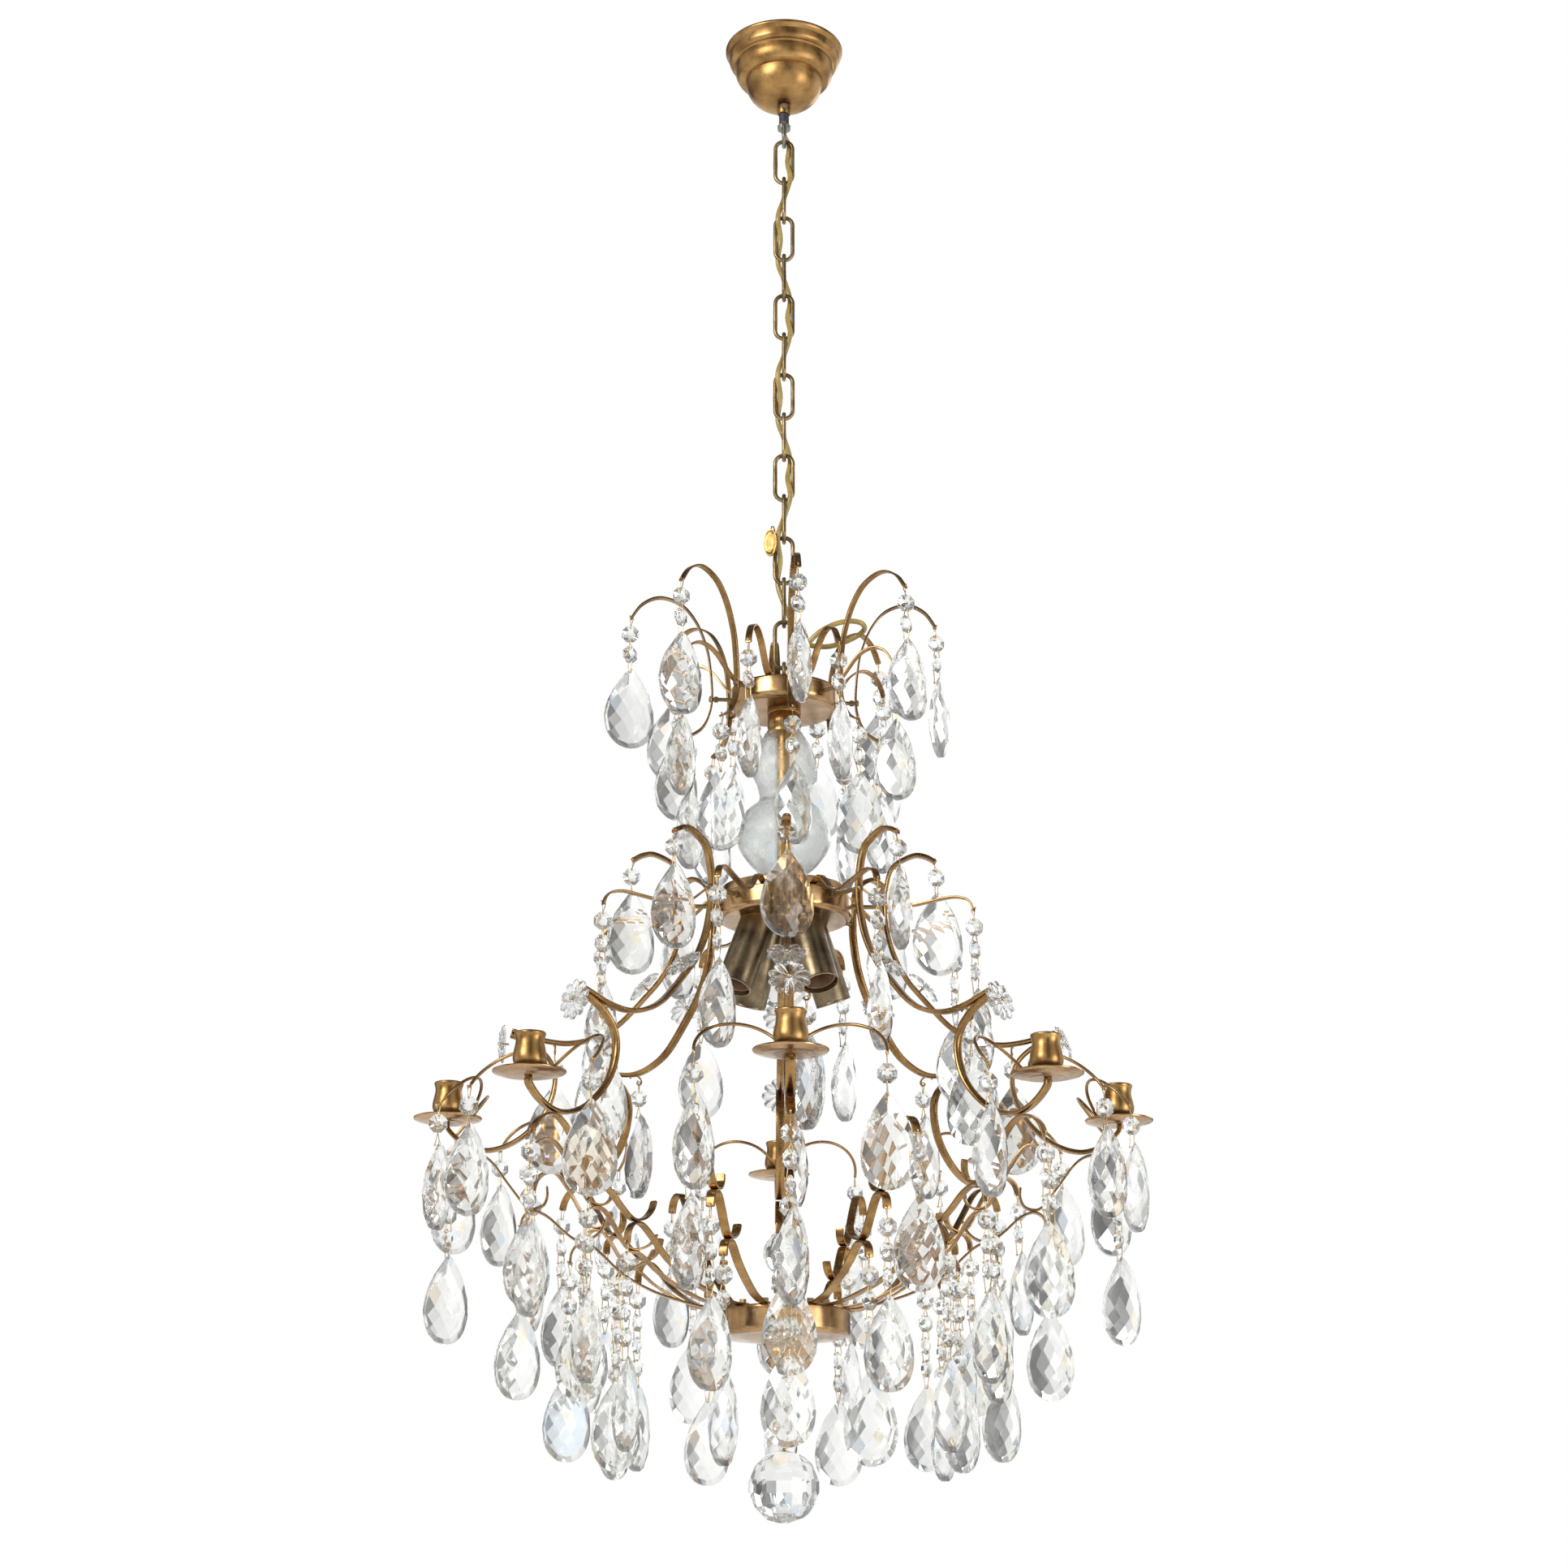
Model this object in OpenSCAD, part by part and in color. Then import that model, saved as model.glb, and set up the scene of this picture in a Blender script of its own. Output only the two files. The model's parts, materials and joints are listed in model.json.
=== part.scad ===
// Multi-arm hanging chandelier: canopy, chain, three tiers of brass strips and cut-glass pendants.
// The origin is the middle of the canopy's rim, in the plane of the ceiling. +Z is up, -Y is the front.

/* [Canopy and hanger] */
// Outer radius of the canopy's rim
canopy_r = 59; // [57:1:62]
// Depth of the canopy from the ceiling to its collar
canopy_depth = 62; // [60:1:64]
// Wall of the canopy
canopy_wall = 1.2; // [1:0.1:1.5]
// Outer radius of the hanger tube
tube_r = 4; // [4:0.05:4.2]

/* [Chain and cord] */
// Thickness of the chain's wire
chain_wire = 4; // [3.8:0.1:4]
// Outer length of one link
link_len = 51; // [51:0.1:51.2]
// Outer width of one link
link_w = 21; // [20.6:0.1:21.4]
// Diameter of the flex
cord_d = 5; // [4.4:0.1:5]

/* [Frame] */
// Width of the brass strip
strip_w = 6.3; // [5.6:0.1:7]
// Thickness of the light brass strip
strip_t = 2; // [1.6:0.1:2]
// Thickness of the heavy strip of the main ribs and arms
heavy_t = 4.2; // [4:0.1:4.4]
// Width of the heavy strip
heavy_w = 8.5; // [8:0.1:9]
// Width of the basket strips
basket_w = 7.8; // [7:0.1:8]
// Radius of the circle of candle cups
cup_circle_r = 300; // [300:0.5:302]
// Radius of the crown dish
crown_r = 50; // [49:0.5:51]
// Radius of the lamp drum
drum_r = 62; // [61:0.5:63]
// Radius of the bottom dish
dish_r = 58; // [57.5:0.5:59]

/* [Lights] */
// Radius of a drip pan
pan_r = 30.5; // [28:0.5:32]
// Radius of the hole that takes the candle
candle_r = 11.2; // [10.8:0.1:11.5]
// Outer radius of a lamp socket's sleeve
socket_r = 16.4; // [16:0.1:16.6]
// Length of a lamp socket's sleeve
socket_len = 76; // [74:1:78]

/* [Glass] */
// Width of a large almond drop
large_w = 50; // [46:1:50]
// Width of a standard almond drop
drop_w = 44; // [40:1:46]
// Height of a large almond drop
large_h = 81; // [78:1:82]
// Height of a standard almond drop
drop_h = 78; // [74:1:78]
// Thickness of an almond drop
drop_t = 14; // [12:0.5:14]
// Diameter of an octagon bead
bead_d = 17; // [15:0.5:17.5]
// Radius of the faceted ball
ball_r = 31; // [29:0.5:32]

/* [Hidden] */
$fn = 48;

brass = [0.62, 0.44, 0.20];
gold = [0.75, 0.55, 0.22];
bronze = [0.48, 0.40, 0.25];
dark_brass = [0.38, 0.30, 0.17];
steel = [0.55, 0.55, 0.53];
black = [0.08, 0.08, 0.08];
flex = [0.55, 0.45, 0.15];
glass = [0.90, 0.95, 0.94, 0.5];

// Arms and the angles of the rib families. A turn is measured from the front.
arms = 8;
step = 360 / arms;
main_turn = 1;
inner_turn = 26.5;
crown_turn = 5;
crown_strip_turn = 27.5;
socket_turn = -54;

// Hanger heights
eye_z = -12;
eye_r = 5;
tube_top = -20;
tube_end = -90;
tube_bore = 2.7;
sleeve_r = 5;
sleeve_top = -73;
sleeve_end = -86;
loop_r = link_w / 2 - chain_wire / 2;
loop_low = -108;

// Chain: every link hangs in the one above it
link_count = 13;
body_gap = 0.5;
link_gap = 0.1;
link_pitch = link_len - 2 * chain_wire - link_gap;
link_half = (link_len - chain_wire) / 2;
first_link_z = loop_low + chain_wire + body_gap - link_half;
last_link_low = first_link_z - (link_count - 1) * link_pitch - link_half;
crown_eye_r = 8.5;
crown_eye_top = last_link_low + chain_wire + body_gap;

// Height of the plane of the drip pans, below the ceiling
pan_z = -1094;

// Bead strings
bead_t = 8;
bead_drop = 15;
bead_pitch = 20.5;
almond_drop = 14;
bead_look = 12;

// Centre lines as [radius, height above the pans]
crown_rib_line = [[145, 473.5], [134, 489], [117, 496], [97, 489], [83, 472], [74, 450], [70, 431],
                  [67.5, 400], [70, 381], [77, 367], [89, 358.6]];
crown_strip_line = [[40, 407], [48, 407.5], [55, 412], [63, 422], [70, 431], [79, 438], [89, 440],
                    [99, 435], [105, 425], [107, 417]];
main_rib_line = [[140, 240], [130, 245.5], [118, 246], [100, 235], [93.5, 215], [92, 200],
                 [93, 180], [99, 154], [110, 131], [124, 113], [150, 85], [172, 73], [194, 68.5],
                 [216, 71], [234, 76.5], [245, 80]];
mid_strip_line = [[58.2, 205.1], [66, 207.5], [74, 208], [84, 200], [96, 191], [111, 187],
                  [138, 190], [158, 192.5], [170, 190.5], [176, 186], [179, 178]];
arm_line = [[246.2, 75.6], [235.3, 72], [223, 65.2], [211.5, 54.5], [206, 42], [206, 28], [211, 11],
            [221, -4], [235, -17], [250, -25], [265, -28], [279, -25], [290, -18.5], [297, -12],
            [299.8, -8], [300, -4.2]];
basket_top_line = [[296, -50], [292.5, -41.4], [285, -33.8], [275, -31.2], [266, -33.8], [257, -41.4],
                   [246, -56], [235, -70], [228, -78], [221, -80], [213, -77], [209.5, -69],
                   [210, -60]];
basket_mid_line = [[232, -97.5], [231, -89], [227, -84], [221, -82.1], [214, -84], [206, -89],
                   [195, -99], [185, -106.5], [177, -108], [168, -105], [161, -98], [158, -90]];
basket_low_line = [[188, -129], [187, -119], [183, -112.5], [177, -110.1], [170, -112],
                   [160, -120], [140, -138], [112, -153], [84, -162], [68, -165.8], [60, -166.9],
                   [46, -166.9]];
inner_top_line = [[242, -51], [239, -42], [233, -36.5], [225, -35], [217, -39], [207, -52],
                  [196, -70], [187, -84], [179, -88], [171, -86.5], [166, -81], [165, -74]];
inner_mid_line = [[190, -105], [189, -97], [185, -91.5], [179, -90.1], [172, -92.5], [165, -101],
                  [156, -115], [150, -122], [144, -124], [135, -122], [127, -117], [123, -110]];
inner_low_line = [[158, -141], [157, -133], [152, -127.5], [144, -126.1], [136, -129],
                  [122, -141], [104, -152], [84, -161.5], [68, -165.8], [60, -166.9], [46, -166.9]];

// Hanging points of the strings as [radius, height above the pans]
crown_tip = crown_rib_line[0];
crown_low_tip = crown_rib_line[len(crown_rib_line) - 1];
crown_strip_tip = crown_strip_line[len(crown_strip_line) - 1];
rib_tip = main_rib_line[0];
mid_tip = mid_strip_line[len(mid_strip_line) - 1];
arm_hang = [207, 64];
arm_hang_sides = [15, 15, 15, 15, -15, -15, -15, -15];
horn_tip = [300, -3];
horn_side = 76;

// Lean of the outer rosette on ribs 0 to 7
rosette_lean = [64, 78, 68, 75, 64, 80, 88, 84];

// Turn of each almond from the front view, for strings 0 to 7 of a ring
crown_look = [70, 45, 72, 20, 60, 35, 30, 45];
crown_low_look = [45, 15, 50, 70, 10, 40, 55, 0];
crown_strip_look = [64, 33, 50, 15, 75, 30, 58, 65];
rib_look = [25, 68, 25, 40, 10, 55, 37, 44];
mid_look = [66, 48, 30, 60, 20, 50, 58, 49];
right_horn_look = [5, 40, 30, 65, 20, 50, 70, 15];
left_horn_look = [48, 50, 55, 25, 60, 10, 35, 45];
basket_top_look = [55, 20, 38, 60, 20, 45, 40, 62];
basket_mid_look = [0, 47, 20, 45, 70, 15, 35, 65];
basket_low_look = [0, 51, 40, 15, 50, 65, 30, 69];
inner_top_look = [20, 52, 60, 20, 45, 70, 37, 56];
inner_mid_look = [25, 50, 20, 65, 10, 45, 10, 41];
inner_low_look = [5, 45, 60, 10, 25, 55, 30, 63];
arm_look = [122, 144, 7, 56, 71, 121, 171, 12];

// The last string of glass, under the finial
ball_drop = -212;
ball_z = -318;

// Route of the flex, from the hanger's tube along the chain to the stem
hanger_route = [[11, 0, -40], [5, 0, -43], [1.5, 0, -48], [0, 0, -55], [0, 0, -70], [0, 0, -90]];
chain_route = [[0, 0, -90.3], [0, 0, -94], [1, 1, -98], [5, 5, -106], [3.5, 0, -127],
               [6, -6, -149], [0, -3.5, -170], [-6, -6, -192],
               [-3.5, 0, -213], [-6, 6, -235], [0, 3.5, -256], [6, 6, -277],
               [3.5, 0, -299], [6, -6, -320], [0, -3.5, -342], [-6, -6, -363], [-3.5, 0, -385],
               [-6, 6, -406], [0, 3.5, -427], [6, 6, -449], [3.5, 0, -470], [6, -6, -492],
               [0, -3.5, -513], [-6, -6, -535], [-3.5, 0, -556], [-6, 6, -577], [0, 3.5, -599],
               [5.5, 6, -612], [6, 6, -620]];
frame_route = [[6, 6, -620.3], [6.5, 6, -625], [13, 8, -633], [26, 11, -638], [42, 11, -639], [58, 9, -635],
               [70, 5, -630], [76, -2, -626], [73, -9, -623], [62, -12, -622], [48, -12, -625],
               [34, -10, -632], [24, -7, -641], [18, -5, -652], [15, -4, -665], [14, -3, -678],
               [12, -2, -690], [8.5, -1, -700]];

// Point at t, between b and c, on the smooth curve through a, b, c and d
function curve_point(a, b, c, d, t) =
    0.5 * (2 * b + (c - a) * t + (2 * a - 5 * b + 4 * c - d) * t * t + (3 * b - a - 3 * c + d) * t * t * t);

// Smooth curve through the points, with n steps between each two
function smooth(pts, n) = concat(
    [for (i = [0 : len(pts) - 2]) for (k = [0 : n - 1])
        curve_point(pts[max(i - 1, 0)], pts[i], pts[i + 1], pts[min(i + 2, len(pts) - 1)], k / n)],
    [pts[len(pts) - 1]]);

// Unit vector along the line at point i
function along(line, i) =
    let (d = line[min(i + 1, len(line) - 1)] - line[max(i - 1, 0)]) d / norm(d);

// Line moved sideways by s
function beside(line, s) =
    [for (i = [0 : len(line) - 1]) let (d = along(line, i)) line[i] + s * [-d[1], d[0]]];

// The points in the opposite order
function reversed(v) = [for (i = [len(v) - 1 : -1 : 0]) v[i]];

// Half width of an almond drop at s, from 0 at its top to 1 at its foot
function almond_half(s) = let (a = acos(1 - 2 * s)) 0.636 * sin(a) * pow(sin(a / 2), 0.9);

// Turn that makes string k of a ring face the front
function facing(turn, k) = 90 - turn - k * step;

// Places n copies round the axis
module ring(turn, n = arms) {
    for (k = [0 : n - 1])
        rotate([0, 0, -90 + turn + k * 360 / n])
            children();
}

// Moves to the plane of the pans
module at_pans() {
    translate([0, 0, pan_z])
        children();
}

// Flat strip bent along a line of [radius, height]
module strip(points, thick, wide = strip_w) {
    line = smooth(points, 2);
    rotate([90, 0, 0])
        linear_extrude(height = wide, center = true)
            polygon(concat(beside(line, thick / 2), reversed(beside(line, -thick / 2))));
}

// Round tube along a route in space
module tube_along(route, d, sides = 10, steps = 2) {
    line = smooth(route, steps);
    n = len(line);
    side = [for (i = [0 : n - 1])
        let (t = along(line, i), u = cross(t, [0.31, 0.95, 0.02])) u / norm(u)];
    rings = [for (i = [0 : n - 1]) for (k = [0 : sides - 1])
        let (t = along(line, i), u = side[i], v = cross(t, u), a = 360 * k / sides)
        line[i] + d / 2 * (cos(a) * u + sin(a) * v)];
    walls = [for (i = [0 : n - 2]) for (k = [0 : sides - 1]) for (h = [0, 1])
        let (a = i * sides + k, b = i * sides + (k + 1) % sides)
        h == 0 ? [b, a, b + sides] : [b + sides, a, a + sides]];
    first_cap = [[for (k = [0 : sides - 1]) k]];
    last_cap = [[for (k = [sides - 1 : -1 : 0]) (n - 1) * sides + k]];
    polyhedron(points = rings, faces = concat(first_cap, walls, last_cap));
}

// One chain link in the XZ plane, centred
module link(length, width, wire) {
    bend = (width - wire) / 2;
    straight = length - width;
    for (end = [0, 180])
        rotate([0, end, 0])
            translate([0, 0, straight / 2])
                rotate([90, 0, 0])
                    rotate_extrude(angle = 180)
                        translate([bend, 0])
                            circle(d = wire, $fn = 24);
    for (side = [-1, 1])
        translate([side * bend, 0, 0])
            cylinder(h = straight, d = wire, center = true, $fn = 24);
}

// Almond drop with its top at the origin, hanging down
module almond(w, h, t) {
    levels = [0.1, 0.28, 0.5, 0.7, 0.86, 0.96];
    middle = -0.6 * h;
    n = len(levels);
    right = [for (s = levels) [w * almond_half(s), 0, -h * s]];
    left = [for (s = reversed(levels)) [-w * almond_half(s), 0, -h * s]];
    rim = concat([[0, 0, 0]], right, [[0, 0, -h]], left);
    last = len(rim);
    points = concat(rim, [[0, 0.25 * t, middle], [0, -0.75 * t, middle]]);
    back = [for (i = [0 : last - 1]) [(i + 1) % last, i, last]];
    front = [for (i = [0 : last - 1]) [i, (i + 1) % last, last + 1]];
    polyhedron(points = points, faces = concat(back, front));
}

// Octagon bead standing on its edge, centred
module bead(d) {
    rotate([90, 22.5, 0])
        cylinder(h = bead_t, d = d, center = true, $fn = 8);
}

// Beads of one string, from the hanging point at the origin
module beads(n, yaw) {
    for (i = [0 : n - 1])
        translate([0, 0, -bead_drop - i * bead_pitch])
            rotate([0, 0, yaw + 40 * i])
                bead(bead_d);
}

// Almond of one string that has n beads
module drop(n, w, h, yaw) {
    translate([0, 0, -bead_drop - (n - 1) * bead_pitch - almond_drop])
        rotate([0, 0, yaw])
            almond(w, h, drop_t);
}

// Goes to the hanging point of string k in a ring
module at_hook(place, turn, k, side = 0) {
    at_pans()
        rotate([0, 0, -90 + turn + k * step])
            translate([place[0], side, place[1]])
                children();
}

// The almonds of one ring of strings
module drop_ring(place, turn, n, w, look, side = 0) {
    for (k = [0 : arms - 1])
        at_hook(place, turn, k, side)
            drop(n, w, drop_h, facing(turn, k) + look[k]);
}

// The beads of one ring of strings
module bead_ring(place, turn, n, side = 0) {
    for (k = [0 : arms - 1])
        at_hook(place, turn, k, side)
            beads(n, facing(turn, k) + bead_look * (k % 3));
}

// Steel lug with the hole for the ceiling hook
module hook_eye() {
    color(steel)
        difference() {
            union() {
                translate([0, 0, eye_z])
                    rotate([0, 90, 0])
                        cylinder(h = 3, r = 8, center = true);
                translate([-1.5, -5, tube_top])
                    cube([3, 10, 6]);
            }
            translate([0, 0, eye_z])
                rotate([0, 90, 0])
                    cylinder(h = 5, r = eye_r, center = true);
        }
}

// Tube that carries the load, with a window where the flex leaves it
module hanger_tube() {
    color(steel)
        difference() {
            translate([0, 0, tube_end])
                cylinder(h = tube_top - tube_end, r = tube_r);
            translate([0, 0, tube_end - 1])
                cylinder(h = tube_top - tube_end - 5, r = tube_bore);
            translate([0, -2.9, -60])
                cube([10, 5.8, 26]);
        }
}

// Terminal block in the canopy, with three screw wells
module terminal_block() {
    color("ivory")
        difference() {
            translate([11, -9, -46])
                cube([10, 18, 14]);
            for (y = [-6, 0, 6])
                translate([16, y, -37])
                    cylinder(h = 6, r = 1.8, $fn = 24);
        }
}

// Black bush round the lower end of the tube
module hanger_sleeve() {
    color(black)
        translate([0, 0, sleeve_end])
            difference() {
                cylinder(h = sleeve_top - sleeve_end, r = sleeve_r);
                translate([0, 0, -1])
                    cylinder(h = sleeve_top - sleeve_end + 2, r = tube_r);
            }
}

// Steel stirrup that carries the chain
module hanger_loop() {
    bend_z = loop_low + loop_r;
    color(steel) {
        difference() {
            union() {
                translate([0, 0, tube_end])
                    cylinder(h = 4, r = 6.5);
                translate([-2, -loop_r - 2, tube_end])
                    cube([4, 2 * loop_r + 4, 4]);
            }
            translate([0, 0, tube_end - 1])
                cylinder(h = 6, r = tube_r);
        }
        for (side = [-1, 1])
            translate([0, side * loop_r, bend_z])
                cylinder(h = tube_end - bend_z, d = chain_wire, $fn = 24);
        translate([0, 0, bend_z])
            rotate([90, 0, 90])
                rotate([0, 0, 180])
                    rotate_extrude(angle = 180)
                        translate([loop_r, 0])
                            circle(d = chain_wire, $fn = 24);
    }
}

// Flex inside the hanger
module cord_hanger() {
    color(flex)
        tube_along(hanger_route, cord_d);
}

// Outline of the canopy's outer face, from the rim down to the collar
function canopy_outline() = let (d = canopy_depth, r = canopy_r) concat(
    [[r, 0], [r, -2.5], [r - 2, -5], [r - 3.5, -6]],
    [for (a = [10 : 20 : 90]) [r - 8 + 4.5 * cos(a), -10 - 6 * sin(a)]],
    [[r - 10, -17.5]],
    [for (a = [10 : 20 : 70]) [r - 17 + 7.5 * cos(a), -20 - 14.5 * sin(a)]],
    [[r - 19.5, -35]],
    [for (a = [0 : 15 : 75]) [6.8 + (r - 27) * pow(cos(a), 0.8), -35 - (d - 35) * sin(a)]],
    [[6.8, -d]]);

// Stepped bell that covers the ceiling hook
module canopy() {
    outer = canopy_outline();
    inner = [for (p = outer) [max(p[0] - canopy_wall, 5.4), min(p[1] + canopy_wall, 0)]];
    color(gold)
        rotate_extrude($fn = 96)
            polygon(concat(outer, [[5.4, -canopy_depth], [5.4, -canopy_depth + canopy_wall]],
                           reversed([for (i = [0 : len(inner) - 2]) inner[i]])));
}

// Collar that clamps the canopy to the tube
module canopy_collar() {
    color(gold)
        translate([0, 0, -73])
            difference() {
                cylinder(h = 73 - canopy_depth, r = 6.8);
                translate([0, 0, -1])
                    cylinder(h = 13, r = 5.4);
                translate([0, 0, 5.5])
                    rotate([90, 0, 0])
                        cylinder(h = 10, r = 1.5, $fn = 24);
            }
}

// Set screw of the collar, drawn backed out to the bore
module collar_screw() {
    color(steel)
        translate([0, -5.6, -67.5])
            rotate([90, 0, 0]) {
                cylinder(h = 2.4, r = 1.5, $fn = 24);
                translate([0, 0, 1.3])
                    cylinder(h = 2.6, r = 2.6, $fn = 24);
            }
}

// Chain of equal links, each turned a quarter from the last
module chain_links() {
    color(dark_brass)
        for (i = [0 : link_count - 1])
            translate([0, 0, first_link_z - i * link_pitch])
                rotate([0, 0, 90 * (i % 2)])
                    link(link_len, link_w, chain_wire);
}

// Small oval brass tag on a wire ring
module seal_tag() {
    color(gold) {
        translate([-13, -9, -541])
            rotate([90, 0, -25])
                linear_extrude(height = 1.6, center = true)
                    polygon([for (a = [0 : 20 : 340]) [7 * cos(a), 14 * sin(a)]]);
        translate([-10.5, -6.5, -527])
            rotate([90, 0, 60])
                rotate_extrude($fn = 32)
                    translate([3.4, 0])
                        circle(d = 1.2, $fn = 16);
    }
}

// Flex along the chain
module cord_chain() {
    color(flex)
        tube_along(chain_route, cord_d);
}

// Loop of flex above the crown and down to the stem
module cord_frame() {
    color(flex)
        tube_along(frame_route, cord_d);
}

// Ring on top of the stem that hangs on the last link
module crown_eye() {
    color(dark_brass) {
        translate([0, 0, crown_eye_top - crown_eye_r])
            rotate([90, 0, 90])
                rotate_extrude()
                    translate([crown_eye_r, 0])
                        circle(d = chain_wire, $fn = 24);
        at_pans()
            translate([0, 0, 408])
                cylinder(h = 6.5, r = 5.5, $fn = 32);
    }
}

// Shallow turned dish with an inward lip on top: [radius, wall, bottom, top, lip, bore]
module turned_dish(r, low, high, lip_r, bore, belly) {
    wall = 1.6;
    round_low = [for (a = [0 : 18 : 90]) [r - 6 + 6 * cos(a), low + 6 - 6 * sin(a)]];
    round_in = [for (a = [90 : -18 : 0]) [r - 6 + (6 - wall) * cos(a), low + 6 - (6 - wall) * sin(a)]];
    rotate_extrude($fn = 96)
        polygon(concat([[lip_r, high], [r - 1, high], [r, high - 1]], round_low,
                       [[bore, low - belly], [bore, low - belly + wall]], round_in,
                       [[r - wall, high - wall], [lip_r, high - wall]]));
}

// Dish that carries the crown
module crown_dish() {
    color(brass)
        at_pans()
            turned_dish(crown_r, 385, 406, 38, 6.5, 0);
}

// Bolts that hold the crown ribs off the dish
module crown_screws() {
    color(dark_brass)
        at_pans()
            ring(crown_turn)
                translate([crown_r, 0, 396])
                    rotate([0, 90, 0]) {
                        cylinder(h = 20.5, r = 1.8, $fn = 24);
                        translate([0, 0, 12.5])
                            cylinder(h = 3.6, r = 3, $fn = 24);
                        translate([0, 0, 18.8])
                            cylinder(h = 2.4, r = 3, $fn = 24);
                    }
}

// Tall C-shaped ribs of the crown
module crown_ribs() {
    color(brass)
        at_pans()
            ring(crown_turn)
                strip(crown_rib_line, strip_t);
}

// S-shaped strips that rise from the crown dish
module crown_strips() {
    color(brass)
        at_pans()
            ring(crown_strip_turn)
                strip(crown_strip_line, strip_t);
}

// Collar under the crown dish
module crown_collar() {
    color(brass)
        at_pans()
            translate([0, 0, 363])
                difference() {
                    cylinder(h = 22, r = 15.7);
                    translate([0, 0, -1])
                        cylinder(h = 24, r = 6.5);
                }
}

// Hollow stem from the crown to the lamp drum
module stem_tube() {
    color(brass)
        at_pans()
            difference() {
                translate([0, 0, 188])
                    cylinder(h = 220, r = 6.5);
                translate([0, 0, 187])
                    cylinder(h = 219, r = 5);
                translate([3, -3.4, 388])
                    cube([6, 6, 13]);
            }
}

// Blown glass baluster round the stem
module glass_baluster() {
    profile = smooth([[14, 213], [14.5, 224], [30, 236], [43.4, 259], [37, 284], [23.5, 298],
                      [25, 312], [30, 327], [27, 345], [18, 363]], 3);
    wall = 3;
    color(glass)
        at_pans()
            rotate_extrude($fn = 72)
                polygon(concat(profile, reversed([for (p = profile) [max(p[0] - wall, 7), p[1]]])));
}

// Lower shell of the lamp drum
module drum_body() {
    color(brass)
        at_pans()
            turned_dish(drum_r, 183, 204, 52, 8, 0);
}

// Lid of the lamp drum
module drum_lid() {
    color(brass)
        at_pans()
            difference() {
                translate([0, 0, 204])
                    cylinder(h = 9, r = 58, $fn = 96);
                translate([0, 0, 203])
                    cylinder(h = 8.4, r = 56.4, $fn = 96);
                translate([0, 0, 200])
                    cylinder(h = 20, r = 6.5);
            }
}

// Bolts that hold the main ribs off the drum
module drum_spokes() {
    color(dark_brass)
        at_pans()
            ring(main_turn)
                translate([drum_r, 0, 197])
                    rotate([0, 90, 0]) {
                        cylinder(h = 34, r = 2, $fn = 24);
                        translate([0, 0, 32.2])
                            cylinder(h = 2.6, r = 3.2, $fn = 24);
                    }
}

// Heavy S-shaped ribs that carry the arms
module main_ribs() {
    color(brass)
        at_pans()
            ring(main_turn)
                strip(main_rib_line, heavy_t, heavy_w);
}

// Wavy strips that lie on the drum
module mid_strips() {
    color(brass)
        at_pans()
            ring(inner_turn)
                strip(mid_strip_line, strip_t);
}

// Goes to a lamp socket's top, with -Z along the socket
module at_socket(k) {
    at_pans()
        rotate([0, 0, socket_turn + 90 * k])
            translate([26.6, 0, 184.3])
                rotate([0, -23, 0])
                    children();
}

// Bronze sleeves of the four lamp sockets
module socket_sleeves() {
    color(bronze)
        for (k = [0 : 3])
            difference() {
                at_socket(k)
                    difference() {
                        translate([0, 0, -socket_len])
                            cylinder(h = socket_len + 8, r = socket_r);
                        translate([0, 0, -socket_len - 1])
                            cylinder(h = socket_len - 3, r = socket_r - 1.1);
                    }
                at_pans()
                    translate([0, 0, 203])
                        cube([200, 200, 40], center = true);
            }
}

// Insulating liners that take the lamps
module socket_liners() {
    color("saddlebrown")
        for (k = [0 : 3])
            at_socket(k)
                difference() {
                    translate([0, 0, -socket_len + 4])
                        cylinder(h = 44, r = socket_r - 1.1);
                    translate([0, 0, -socket_len + 3])
                        cylinder(h = 14, r = 12.5);
                    translate([0, 0, -socket_len + 3])
                        cylinder(h = 40, r = 7.1);
                }
}

// Terminal block in the lamp drum
module lamp_terminal() {
    color("ivory")
        at_pans()
            difference() {
                translate([16, -12, 184.6])
                    cube([10, 24, 12]);
                for (y = [-8, 0, 8])
                    translate([21, y, 192])
                        cylinder(h = 6, r = 1.8, $fn = 24);
            }
}

// Heavy strips that carry the pans
module candle_arms() {
    color(brass)
        at_pans()
            ring(main_turn)
                strip(arm_line, heavy_t, heavy_w);
}

// Shallow drip pans
module drip_pans() {
    under = smooth([[2.5, -4], [12, -4], [22, -3.2], [28, -1.6], [pan_r, 0.6]], 2);
    color(brass)
        at_pans()
            ring(main_turn)
                translate([cup_circle_r, 0, 0])
                    rotate_extrude()
                        polygon(concat(under, reversed([for (p = under) [p[0], p[1] + 1]])));
}

// Turned candle cups
module candle_cups() {
    outer = smooth([[8.6, -3], [9.6, 0], [10, 2.4], [12.3, 6], [14, 11], [13.2, 18], [11.9, 24],
                    [12.3, 28.5], [12.9, 31.5], [12.65, 33]], 3);
    color(gold)
        at_pans()
            ring(main_turn)
                translate([cup_circle_r, 0, 0])
                    rotate_extrude()
                        polygon(concat([[2.5, -3]], outer, [[candle_r, 33], [candle_r, 9], [6, 4], [2.5, 4]]));
}

// Screws that hold the cups and pans to the arms
module cup_screws() {
    color(dark_brass)
        at_pans()
            ring(main_turn)
                translate([cup_circle_r, 0, 0]) {
                    translate([0, 0, -4])
                        cylinder(h = 8, r = 2.5, $fn = 24);
                    translate([0, 0, 4])
                        cylinder(h = 2, r = 4.4, $fn = 24);
                }
}

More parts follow.
